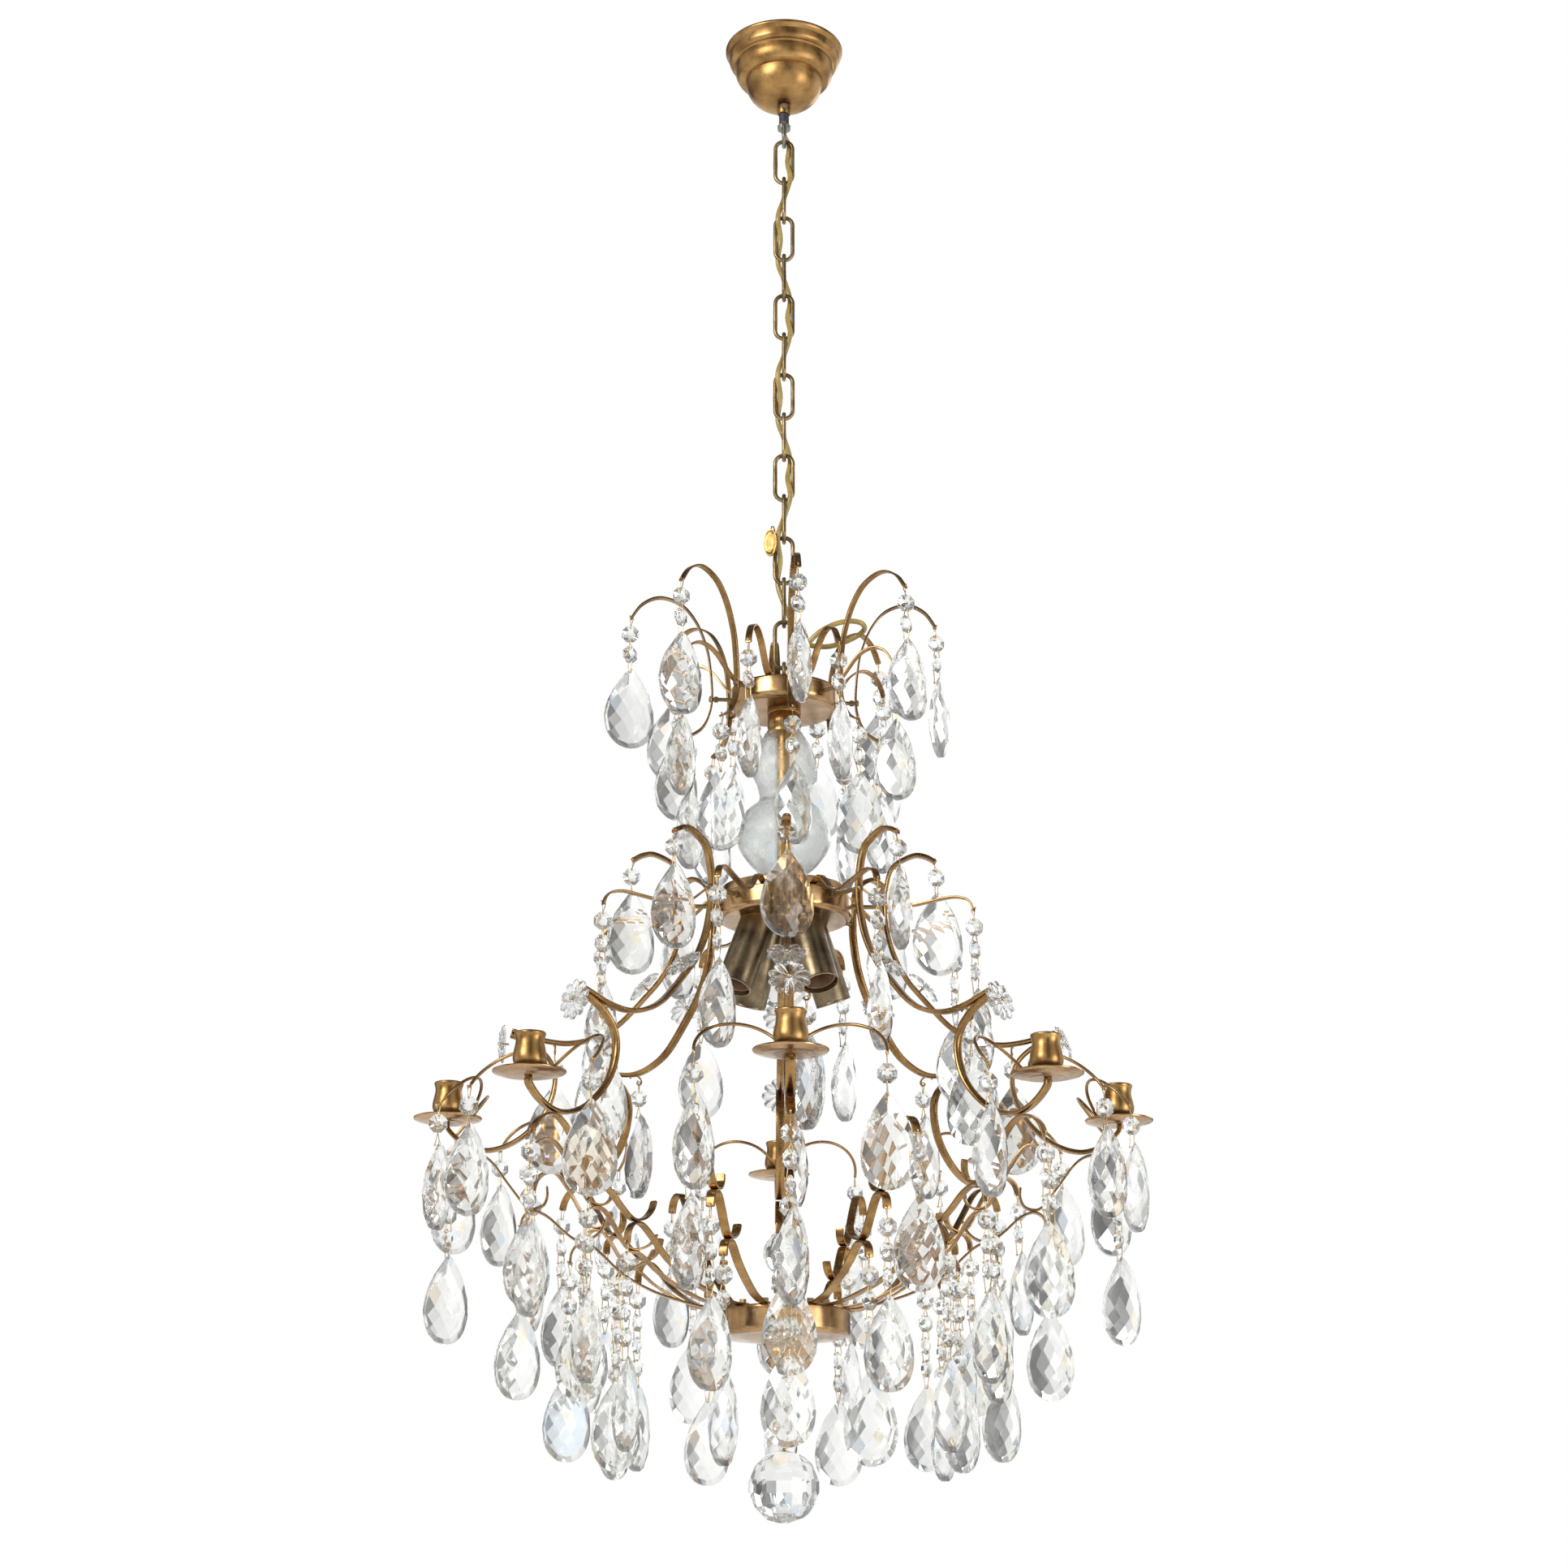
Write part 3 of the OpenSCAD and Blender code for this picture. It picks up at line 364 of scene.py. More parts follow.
def lathe(profile, n=96, closed=False):
    """Turned solid: profile of (radius, height). A closed profile is a loop; otherwise its ends are poles."""
    verts, rings = [], []
    for r, z in profile:
        if r < 1e-6:
            rings.append([len(verts)])
            verts.append((0, 0, z))
        else:
            rings.append(list(range(len(verts), len(verts) + n)))
            verts.extend((r * cos(2 * pi * i / n), r * sin(2 * pi * i / n), z) for i in range(n))
    faces = []
    pairs = list(zip(rings, rings[1:])) + ([(rings[-1], rings[0])] if closed else [])
    for a, b in pairs:
        for i in range(n):
            j = (i + 1) % n
            if len(a) == 1 and len(b) == 1:
                continue
            if len(a) == 1:
                faces.append((a[0], b[j], b[i]))
            elif len(b) == 1:
                faces.append((a[i], a[j], b[0]))
            else:
                faces.append((a[i], a[j], b[j], b[i]))
    if not closed:
        if len(rings[0]) > 1:
            faces.append(tuple(reversed(rings[0])))
        if len(rings[-1]) > 1:
            faces.append(tuple(rings[-1]))
    return verts, faces


def sweep(path, profile, closed=False, scale=None, first=None):
    """Profile of (across, up) carried along a path without twist."""
    n = len(path)
    tangents = []
    for i in range(n):
        a, b = (path[i - 1], path[(i + 1) % n]) if closed else (path[max(i - 1, 0)], path[min(i + 1, n - 1)])
        tangents.append((b - a).normalized())
    t = tangents[0]
    u = Vector(first) if first else (Vector((0.31, 0.95, 0.02)).cross(t))
    u = (u - t * u.dot(t)).normalized()
    frames = []
    for t in tangents:
        u = (u - t * u.dot(t)).normalized()
        frames.append((u, t.cross(u)))
    verts, m = [], len(profile)
    for i, p in enumerate(path):
        u, w = frames[i]
        s = scale[i] if scale else (1, 1)
        verts.extend(p + u * (a * s[0]) + w * (b * s[1]) for a, b in profile)
    faces = []
    for i in range(n if closed else n - 1):
        j = (i + 1) % n
        for k in range(m):
            q = (k + 1) % m
            faces.append((i * m + k, i * m + q, j * m + q, j * m + k))
    if not closed:
        faces.append(tuple(range(m - 1, -1, -1)))
        faces.append(tuple((n - 1) * m + k for k in range(m)))
    return verts, faces


def circle(r, n=12):
    return [(r * cos(2 * pi * i / n), r * sin(2 * pi * i / n)) for i in range(n)]


def tube(path, r, n=12, closed=False, scale=None):
    return sweep([Vector(p) for p in path], circle(r, n), closed, scale)


def strip(line, wide, thick, crown=0):
    """Bent strip in the XZ plane with nearly square ends.

    A crown of 1 or -1 gives a half-round bar, flat on one side.
    """
    dome, power = 0.34, 0.26
    pts = [Vector((p[0], 0, p[1])) for p in smooth(line, 7)]
    prof = []
    if crown:
        for i in range(17):
            a = pi * i / 16
            prof.append((cos(a) * wide / 2, -thick / 2 + 0.7 + (thick - 0.7) * sin(a) ** 0.85))
        prof += [(-wide / 2 + 0.15, -thick / 2 + 0.25), (-wide / 2 + 0.6, -thick / 2), (wide / 2 - 0.6, -thick / 2),
                 (wide / 2 - 0.15, -thick / 2 + 0.25)]
        if crown < 0:
            prof = [(x, -y) for x, y in reversed(prof)]
    else:
        for i in range(22):
            a = 2 * pi * (i + 0.5) / 22
            c, q = cos(a), sin(a)
            prof.append((copysign(abs(c) ** power, c) * wide / 2, copysign(abs(q) ** dome, q) * thick / 2))
    run = [0.0]
    for a, b in zip(pts, pts[1:]):
        run.append(run[-1] + (b - a).length)
    total, e = run[-1], 1.3
    near = [e * q for q in (0.0, 0.04, 0.16, 0.36, 0.65, 1.0)]
    at = sorted(near + [total - d for d in near] + [d for d in run if e * 1.2 < d < total - e * 1.2])
    line, scale, i = [], [], 0
    for d in at:
        while i < len(run) - 2 and run[i + 1] < d:
            i += 1
        line.append(pts[i].lerp(pts[i + 1], (d - run[i]) / (run[i + 1] - run[i])))
        q = min(d, total - d)
        gap = 0.0 if q >= e else e - sqrt(max(0.0, e * e - (e - q) ** 2))
        scale.append((1 - gap * 2 / wide, 1 - min(gap, 0.45) / thick))
    return sweep(line, prof, False, scale, first=(0, 1, 0))


def polytope(planes):
    """Cut stone: the space inside all the planes, given as (normal, distance)."""
    nrm = np.array([Vector(p[0]).normalized()[:] for p in planes])
    dist = np.array([p[1] / Vector(p[0]).length for p in planes])
    idx = np.array(list(combinations(range(len(nrm)), 3)))
    mats = nrm[idx]
    keep = np.abs(np.linalg.det(mats)) > 1e-5
    pts = np.linalg.solve(mats[keep], dist[idx][keep][..., None])[..., 0]
    pts = pts[(pts @ nrm.T <= dist + 1e-6).all(axis=1)]
    pts = np.unique(np.round(pts, 3), axis=0)
    faces = []
    for nvec, d in zip(nrm, dist):
        on = [i for i in range(len(pts)) if abs(pts[i] @ nvec - d) < 2e-3]
        if len(on) < 3:
            continue
        nv = Vector(nvec)
        side = nv.orthogonal().normalized()
        up = nv.cross(side)
        mid = sum((Vector(pts[i]) for i in on), Vector()) / len(on)
        on.sort(key=lambda i: atan2((Vector(pts[i]) - mid).dot(up), (Vector(pts[i]) - mid).dot(side)))
        faces.append(tuple(on))
    return [tuple(p) for p in pts], faces


def almond_half(s, w):
    a = acos(1 - 2 * s)
    return w * 0.636 * sin(a) * sin(a / 2) ** 0.9


def cut_almond(w, h, t):
    """Almond drop with its top at the origin.

    It has a lattice of diamond facets in front, and a flat back with a bevelled edge.
    """
    mid = -0.6 * h
    outline = [(almond_half(i / 240, w) if 0 < i < 240 else 0.0, -h * i / 240) for i in range(241)]
    girdle = []
    for k in range(26):
        a = 2 * pi * (k + 0.5) / 26
        n = Vector((cos(a), 0, sin(a)))
        girdle.append((n, max(abs(n.x) * x + n.z * z for x, z in outline)))
    planes = girdle[:]
    front, wide, high, low = t * 0.74, w * 0.56, h * 0.69, h * 0.47
    for i in range(-5, 6):
        for j in range(-5, 6):
            u, v = i * 0.207, j * 0.207
            if (i + j) % 2 or u * u + v * v > 0.86:
                continue
            tall = high if v > 0 else low
            n = Vector((2 * front * u / wide, -1, 2 * front * v / tall))
            planes.append((n, n.dot(Vector((u * wide, front * (u * u + v * v - 1), mid + v * tall)))))
    for k in range(12):
        a = 2 * pi * (k + 0.5) / 12
        c, q = cos(a), sin(a)
        edge = min((d - n.z * mid) / (n.x * c + n.z * q) for n, d in girdle if n.x * c + n.z * q > 1e-6)
        n = Vector((c * 2.2 / (0.2 * edge), 1, q * 2.2 / (0.2 * edge)))
        planes.append((n, n.dot(Vector((edge * c, 1.0, mid + edge * q)))))
    planes.append(((0, 1, 0), 3.2))
    return polytope(planes)


def cut_bead(d, t, sides=8):
    """Octagon bead standing on its edge, star cut on both faces."""
    flat = d / 2 * cos(pi / sides)
    planes = []
    for k in range(sides):
        a = 2 * pi * k / sides
        planes.append(((cos(a), 0, sin(a)), flat))
        b = 2 * pi * (k + 0.5) / sides
        for side in (-1, 1):
            n = Vector((cos(a) * 0.62, side, sin(a) * 0.62))
            planes.append((n, n.dot(Vector((flat * cos(a) * 0.97, side * 0.9, flat * sin(a) * 0.97)))))
            n = Vector((cos(b) * 0.4, side, sin(b) * 0.4))
            planes.append((n, n.dot(Vector((flat * cos(b) * 0.62, side * t * 0.39, flat * sin(b) * 0.62)))))
    for side in (-1, 1):
        planes.append(((0, side, 0), t / 2))
    return polytope(planes)


def cut_ball(r):
    """Round stone with rows of large flat facets."""
    planes = []
    rows = [(72, 5), (46, 9), (23, 12), (0, 14), (-23, 12), (-46, 9), (-72, 5)]
    for row, (lat, count) in enumerate(rows):
        for k in range(count):
            a = 2 * pi * (k + 0.5 * (row % 2)) / count
            c = cos(radians(lat))
            planes.append(((c * cos(a), c * sin(a), sin(radians(lat))), r * 0.955))
    planes += [((0, 0, 1), r * 0.97), ((0, 0, -1), r * 0.97)]
    return polytope(planes)


ALMOND = {(50, 78): cut_almond(50, 78, DROP_T), (44, 78): cut_almond(44, 78, DROP_T),
          (50, 81): cut_almond(50, 81, DROP_T)}
BEAD = cut_bead(BEAD_D, BEAD_T)
HEAD = lathe([(1.0 * cos(radians(a)), 1.0 * sin(radians(a))) if abs(a) < 90 else (0, copysign(1.0, a))
              for a in (-90, -50, -15, 15, 50, 90)], 8)


def pin(part, top, top_dir, low, low_dir, a, b, r=0.45):
    """Closed wire bent through the holes at top and low, its bars along the two directions, with round heads."""
    top, low = Vector(top), Vector(low)
    td, ld = Vector(top_dir).normalized(), Vector(low_dir).normalized()
    corners = [top + td * a, top, top - td * a, low - ld * b, low, low + ld * b]
    path = []
    count = len(corners)
    for i in range(count):
        p, q, s = corners[i - 1], corners[i], corners[(i + 1) % count]
        if i in (1, 4):
            path.append(q)
            continue
        m1 = q + (p - q).normalized() * 0.9
        m2 = q + (s - q).normalized() * 0.9
        path += [m1, (m1 + m2 + 2 * q) / 4, m2]
    part.add(tube(path, r, 6, closed=True))
    for p in (top + td * (a + 0.15), low + ld * (b + 0.15)):
        part.add(HEAD, shift(*p))


def string(stones, drops, wires, place, n, w, h, look, yaw, hook_dir, hook, hook_bar=2.0):
    """One string from its hanging point: n beads, one almond, and the bent pins between them."""
    above, above_dir, above_bar = Vector(hook), Vector(hook_dir), hook_bar
    local = Part("none")
    for i in range(n):
        z = -BEAD_DROP - i * BEAD_PITCH
        spin = turn(look + BEAD_TURN * i)
        stones.add(BEAD, place @ shift(0, 0, z) @ spin, flat=True, spark=True)
        axis = spin @ Vector((0, 1, 0))
        pin(local, above, above_dir, (0, 0, z + BEAD_HOLE), axis, above_bar, BEAD_BAR)
        above, above_dir, above_bar = Vector((0, 0, z - BEAD_HOLE)), axis, BEAD_BAR
    z = -BEAD_DROP - (n - 1) * BEAD_PITCH - ALMOND_DROP
    if h:
        drops.add(ALMOND[(w, h)], place @ shift(0, 0, z) @ turn(yaw), flat=True, spark=True)
        pin(local, above, above_dir, (0, 0, z - ALMOND_HOLE), turn(yaw) @ Vector((0, 1, 0)), above_bar, ALMOND_BAR)
    wires.add((local.v, local.f), place)


def facing(kind, k):
    """Turn that makes string k of a ring face the front."""
    return 90 - TURN[kind] - STEP * k


# ---------------------------------------------------------------- cords
def cord_piece(name, route, node):
    """Round flex along a fixed route between two bodies."""
    pts = smooth(route, 6)
    part = Part(name)
    part.add(tube(pts, 2.5, 16))
    me = bpy.data.meshes.new(name)
    me.from_pydata([(x * MM, y * MM, z * MM) for x, y, z in part.v], [], part.f)
    me.polygons.foreach_set("use_smooth", [True] * len(me.polygons))
    me.materials.append(MAT["flex_pvc"])
    ob = bpy.data.objects.new(name, me)
    bpy.context.scene.collection.objects.link(ob)
    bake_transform(ob)
    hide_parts(node)


cord_piece("flex_along_chain", CHAIN_ROUTE, "cord_chain")
cord_piece("flex_to_stem", FRAME_ROUTE, "cord_frame")


# ---------------------------------------------------------------- hanger, canopy and chain
def canopy_outline(r=59.0, d=62.0):
    out = [(r - 0.4, 0), (r, -0.6), (r, -2.2), (r - 0.5, -3.2), (r - 2, -4.6), (r - 3.5, -6)]
    out += [(r - 8 + 4.5 * cos(radians(a)), -10 - 6 * sin(radians(a))) for a in range(10, 91, 10)]
    out += [(r - 9, -16.4), (r - 10, -17.5)]
    out += [(r - 17 + 7.5 * cos(radians(a)), -20 - 14.5 * sin(radians(a))) for a in range(10, 76, 8)]
    out += [(r - 19.5, -35)]
    out += [(6.8 + (r - 27) * cos(radians(a)) ** 0.8, -35 - (d - 35) * sin(radians(a))) for a in range(0, 84, 6)]
    return out + [(6.8, -d)]


outer = canopy_outline()
inner = [(max(x - 1.2, 5.4), min(z + 1.2, 0.0)) for x, z in outer]
Part("canopy_shell").add(lathe(outer + [(5.4, -62), (5.4, -60.8)] + inner[-2::-1], 128, closed=True)).done(
    "canopy", "gold_brass", "canopy", edge=38)
Part("canopy_grip").add(lathe([(5.4, -62), (6.5, -62), (6.8, -62.4), (6.8, -64.4), (6.3, -64.8), (6.8, -65.2),
                               (6.8, -71.2), (6.2, -72.7), (5.4, -73)], 48, closed=True)).done(
    "canopy", "gold_brass", "canopy_collar", edge=38)

links = Part("chain_antique")


def link_path(half=15.0, bend=8.5, n=14):
    pts = []
    for end in (1, -1):
        for i in range(n + 1):
            a = pi * i / n
            pts.append(Vector((end * bend * cos(a), 0, end * (half + bend * sin(a)))))
        for i in range(1, 5):
            pts.append(Vector((-end * bend, 0, end * (half - 2 * half * i / 5))))
    return pts


FIRST_LINK, LINK_PITCH, LINK_COUNT, WELD = -127.0, 42.9, 13, 17
for i in range(LINK_COUNT):
    crossed = turn(90 * (i % 2))
    body = link_path()
    swell = [(1, 1)] * len(body)
    swell[WELD] = (1.1, 1.1)
    links.add(tube(body, 2.0, 16, closed=True, scale=swell), shift(0, 0, FIRST_LINK - i * LINK_PITCH) @ crossed)
links.done("chain", "dark_brass", "chain_links")

tag = Part("seal_blank")
oval = Matrix.Diagonal((7 / 14, 1, 1, 1))
tag.add(lathe([(0, -0.8), (11.6, -0.8), (12.4, -1.1), (13.5, -1.1), (14, -0.5), (14, 0.5), (13.5, 1.1), (12.4, 1.1),
               (11.6, 0.6), (8.6, 0.5), (8.2, 0.9), (7.6, 0.9), (7.2, 0.5), (0, 0.7)], 48),
        shift(-13, -9, -541) @ turn(-25) @ turn(90, "X") @ oval)
tag.add(tube([(3.4 * cos(2 * pi * i / 24), 3.4 * sin(2 * pi * i / 24), 0) for i in range(24)], 0.6, 10, closed=True),
        shift(-10.5, -6.5, -527) @ turn(60) @ turn(90, "X"))
tag.done("chain", "gold_brass", "seal_tag", edge=40)

eye = Part("crown_ring")
eye.add(tube([(0, 8.5 * cos(2 * pi * i / 40), 8.5 * sin(2 * pi * i / 40)) for i in range(40)], 2.0, 16, closed=True),
        shift(0, 0, -669.3))
eye.add(lathe([(3.0, 408.2), (5.2, 408.2), (5.5, 408.8), (5.5, 411), (4.9, 411.6), (5.2, 412.4), (4.4, 414.2),
               (0, 414.5)], 40), shift(0, 0, PAN))
eye.done("frame", "dark_brass", "crown_eye", edge=40)


# ---------------------------------------------------------------- crown, stem, drum and bottom dish
def turned_dish(r, low, high, lip_r, bore, belly):
    wall = 1.6
    out = [(lip_r, high - 0.2), (lip_r + 0.3, high), (r - 1.4, high), (r - 0.5, high - 0.3), (r, high - 1.0),
           (r, high - 2.6), (r - 0.5, high - 3.0), (r - 0.5, high - 3.6), (r, high - 4.0)]
    out += [(r - 6 + 6 * cos(radians(a)), low + 6 - 6 * sin(radians(a))) for a in range(0, 91, 9)]
    f = [(t, t * t * (3 - 2 * t)) for t in (0.15, 0.3, 0.45, 0.6, 0.75, 0.9, 1.0)]
    out += [((r - 6) + (bore - (r - 6)) * t, low - belly * s) for t, s in f]
    inn = [(r - 6 + (6 - wall) * cos(radians(a)), low + 6 - (6 - wall) * sin(radians(a))) for a in range(90, -1, -9)]
    back = [((r - 6) + (bore - (r - 6)) * t, low + wall - belly * s) for t, s in reversed(f)]
    return out + back + inn + [(r - wall, high - wall), (lip_r, high - wall)]


def turned(name, profile, n, material, node, edge=38):
    """One turned piece of the fitting. The profile is a closed loop, in heights from the pans."""
    Part(name).add(lathe(profile, n, closed=True), shift(0, 0, PAN)).done("frame", material, node, edge=edge)


turned("crown_dish_turned", turned_dish(50, 385, 406, 38, 6.5, 0), 128, "spun_brass", "crown_dish")
turned("drum_turned", turned_dish(62, 183, 204, 52, 8, 0), 144, "spun_brass", "drum_body")
turned("drum_cover", [(6.5, 211.4), (56.4, 211.4), (56.4, 204), (58, 204), (58, 211.8), (57.6, 212.7), (56.8, 213),
                      (30, 213), (29.4, 212.6), (28.8, 213), (6.5, 213)], 144, "spun_brass", "drum_lid")
turned("bottom_dish_turned", turned_dish(58, -192, -168, 42, 3, 7), 144, "spun_brass", "bottom_dish")
turned("crown_neck", [(6.5, 363), (14.8, 363), (15.7, 363.8), (15.7, 366), (14.9, 366.6), (14.9, 368), (15.5, 368.8),
                      (15.5, 381.5), (14.8, 382.4), (15.7, 383.4), (15.7, 385), (6.5, 385)],
       96, "aged_brass", "crown_collar")
turned("stem_brass", [(5, 188), (6.5, 188), (6.5, 406), (5, 406)], 64, "aged_brass", "stem_tube")

base = smooth([(14, 213), (14.5, 224), (30, 236), (43.4, 259), (37, 284), (23.5, 298), (25, 312), (30, 327),
               (27, 345), (18, 363)], 8)
wall_in = [(max(p[0] - 2.2, 7.2), p[1]) for p in base]
turned("baluster_blown", [(p[0], p[1]) for p in base] + wall_in[::-1], 112, "blown_glass", "glass_baluster", edge=60)

screws = Part("crown_bolts")
spokes = Part("drum_bolts")
for k in range(ARMS):
    m = ring_place("crown", k) @ shift(49.5, 0, 396 + PAN) @ turn(90, "Y")
    screws.add(lathe([(1.8, 0), (1.8, 20.5)], 20), m)
    screws.add(lathe([(0, 12.5), (3, 12.5), (3, 16.1), (0, 16.1)], 6), m, flat=True)
    screws.add(lathe([(0, 18.8), (3.1, 18.8), (3.1, 19.6), (2.4, 20.8), (0, 21.3)], 24), m)
    m = ring_place("main", k) @ shift(61.5, 0, 197 + PAN) @ turn(90, "Y")
    spokes.add(lathe([(2, 0), (2, 34)], 20), m)
    spokes.add(lathe([(0, 0.2), (3.6, 0.2), (3.6, 2.6), (0, 2.6)], 6), m, flat=True)
    spokes.add(lathe([(0, 32.6), (3.3, 32.6), (3.2, 33.6), (2.3, 34.8), (0, 35.2)], 24), m)
screws.done("frame", "dark_brass", "crown_screws", edge=35, bevel=0.2)
spokes.done("frame", "dark_brass", "drum_spokes", edge=35, bevel=0.2)

# ---------------------------------------------------------------- strips
RIB = dict(wide=8.5, thick=4.2, crown=-1)
ARM = dict(wide=8.5, thick=4.2, crown=1)
LIGHT = dict(wide=6.3, thick=2.0)
BROAD = dict(wide=7.8, thick=2.0)
FAMILY = {"crown_ribs": ("crown", LIGHT), "crown_strips": ("crown_strip", LIGHT), "main_ribs": ("main", RIB),
          "mid_strips": ("inner", LIGHT), "candle_arms": ("main", ARM), "basket_ribs_top": ("main", BROAD),
          "basket_ribs_mid": ("main", BROAD), "basket_ribs_low": ("main", BROAD), "inner_ribs_top": ("inner", BROAD),
          "inner_ribs_mid": ("inner", BROAD), "inner_ribs_low": ("inner", BROAD)}
for node, (kind, form) in FAMILY.items():
    one = strip(LINES[node], **form)
    part = Part(node + "_brass")
    for k in range(ARMS):
        part.add(one, ring_place(kind, k) @ shift(0, 0, PAN))
    part.done("frame", "aged_brass", node, edge=50)

# ---------------------------------------------------------------- lamp sockets
sleeves, liners = Part("socket_shells"), Part("socket_inserts")
R, L = 16.4, 76.0
SOCKET_TURN, SOCKET_TILT, SOCKET_AT = -54, -23, (26.6, 184.3)
for k in range(4):
    m = turn(SOCKET_TURN + 90 * k) @ shift(SOCKET_AT[0], 0, SOCKET_AT[1] + PAN) @ turn(SOCKET_TILT, "Y")
    sleeves.add(lathe([(R - 1.1, -L), (R - 0.5, -L - 0.2), (R, -L + 0.3), (R + 0.05, -L + 1.4), (R - 0.25, -L + 2.0),
                       (R - 0.1, -L + 2.6), (R, -30), (R, -6), (R - 0.6, 0), (R - 2.2, 2.2), (8, 3.4), (8, 2.2),
                       (R - 2.9, 1.0), (R - 1.6, -0.6), (R - 1.1, -6)], 72, closed=True), m)
    ridges = []
    for i in range(9):
        z = -L + 18.4 + 2.4 * i
        ridges += [(7.1, z), (7.6, z + 0.8), (7.6, z + 1.6)]
    liners.add(lathe([(R - 1.9, -L + 17), (R - 1.9, -L + 4.2), (R - 2.2, -L + 3.9), (12.9, -L + 4), (12.5, -L + 4.6),
                      (12.5, -L + 15.4), (11.9, -L + 16.6), (8.0, -L + 17), (7.3, -L + 17.4)] + ridges
                     + [(7.1, -L + 43), (0.0, -L + 43), (0.0, -L + 45), (R - 1.2, -L + 45),
                        (R - 1.2, -L + 17)], 64), m)
    liners.add(lathe([(0, -L + 39.5), (2.0, -L + 39.5), (2.6, -L + 40.2), (2.6, -L + 42.8), (0, -L + 42.8)], 24), m)
sleeves.done("frame", "bronze", "socket_sleeves", edge=40)
liners.done("frame", "socket_liner", "socket_liners", edge=40)

# ---------------------------------------------------------------- pans, cups, horns and rosettes
HORN_R, HORN_SIDE = 37.5, 76
pans, cups, nuts, horns = Part("pans_spun"), Part("cups_turned"), Part("cup_nuts"), Part("horns_wire")
under = smooth([(2.5, -4), (12, -4), (14.2, -3.9), (15, -3.55), (22, -2.95), (27.6, -1.5), (29.6, -0.9),
                (30.45, 0.1)], 4)
pan_prof = [(p[0], p[1]) for p in under]
pan_top = [(30.5, 0.8), (30.0, 1.35), (29.2, 1.1), (28.6, 0.3), (27.4, -0.5), (22, -2.0), (12, -3.0), (2.5, -3.0)]
cup_out = smooth([(8.6, -3), (9.6, -1.6), (10.3, -0.6), (10.3, 0.8), (9.7, 1.6), (9.9, 2.6), (11.0, 3.9), (12.6, 6.2),
                  (13.6, 8.6), (14.0, 11), (13.9, 14), (13.2, 17.8), (12.4, 21.4), (11.9, 24.4), (11.9, 27),
                  (12.3, 29), (12.95, 30.7), (13.05, 31.8), (12.65, 32.7)], 3)
cup_in = [(12.1, 33), (11.5, 32.9), (11.2, 32.3), (11.2, 9), (6, 4), (2.5, 4)]
cup_prof = [(2.5, -3)] + [(p[0], p[1]) for p in cup_out] + cup_in
for k in range(ARMS):
    m = ring_place("main", k) @ shift(CANDLE_R, 0, PAN)
    pans.add(lathe(pan_prof + pan_top, 80, closed=True), m)
    cups.add(lathe(cup_prof, 64, closed=True), m)
    nuts.add(lathe([(0, -4.4), (2.4, -4.4), (2.5, -4), (2.5, 4), (4.4, 4), (4.4, 5.2), (3.6, 6), (0, 6)], 28), m)
    for side in (-1, 1):
        bow = []
        for i in range(41):
            a = pi * i / 40
            bow.append(Vector((HORN_R * cos(a), HORN_R * sin(a), 0)))
        h = ring_place("main", k) @ shift(292, side * 39.5, -1.6 + PAN) @ turn(90 - side * 12) @ turn(52, "X")
        horns.add(tube(bow, 1.4, 12), h)
        for p in (bow[0], bow[-1]):
            horns.add(HEAD, h @ shift(*p) @ Matrix.Scale(1.5, 4))
pans.done("frame", "spun_brass", "drip_pans", edge=45)
cups.done("frame", "gold_brass", "candle_cups", edge=45)
nuts.done("frame", "dark_brass", "cup_screws", edge=40)
horns.done("frame", "aged_brass", "pan_horns")


def flower(n=120, rows=10):
    """Pressed ten-petal flower with ribbed petals and a raised eye."""
    verts, faces = [], []

    def edge_r(a):
        return 12.9 + 4.9 * abs(cos(5 * a)) ** 0.55

    for i in range(rows + 1):
        q = 0.16 + 0.84 * i / rows
        for j in range(n):
            a = 2 * pi * j / n
            r = q * edge_r(a)
            petal = abs(cos(5 * a)) ** 0.6
            z = 1.6 + 2.9 * (1 - q ** 2.2) * 0.6 + 1.9 * petal * sin(pi * min(1, q * 1.02)) ** 0.8
            z += 0.28 * cos(20 * a) * sin(pi * q)
            verts.append((r * cos(a), r * sin(a), z))
    for i in range(rows):
        for j in range(n):
            k = (j + 1) % n
            faces.append((i * n + j, (i + 1) * n + j, (i + 1) * n + k, i * n + k))
    low = len(verts)
    for q, z in ((0.98, 0.5), (0.8, 0.0), (0.16, 0.0)):
        for j in range(n):
            a = 2 * pi * j / n
            verts.append((q * edge_r(a) * cos(a), q * edge_r(a) * sin(a), z))
    chain = [rows * n, low, low + n, low + 2 * n]
    for a0, b0 in zip(chain, chain[1:]):
        for j in range(n):
            k = (j + 1) % n
            faces.append((a0 + j, b0 + j, b0 + k, a0 + k))
    for j in range(n):
        k = (j + 1) % n
        faces.append((low + 2 * n + j, j, k, low + 2 * n + k))
    return verts, faces


LEAN = (64, 78, 68, 75, 64, 80, 88, 84)
petals, studs = Part("rosettes_pressed"), Part("rosette_pins")
bloom = flower()
for k in range(ARMS):
    for r, z, tilt in ((123, 118, 45), (247.5, 68, LEAN[k])):
        m = ring_place("main", k) @ shift(r, 0, z + PAN) @ turn(tilt, "Y") @ shift(0, 0, 3.8)
        petals.add(bloom, m @ turn(18 * ((k * 7) % 5)))
        studs.add(lathe([(0.8, -3.9), (0.8, 4.6), (1.9, 4.8), (1.9, 5.4), (1.3, 6.1), (0, 6.4)], 20), m)
petals.done("frame", "pressed_glass", "rosettes", edge=50)
studs.done("frame", "wire_brass", slot="gold_brass")

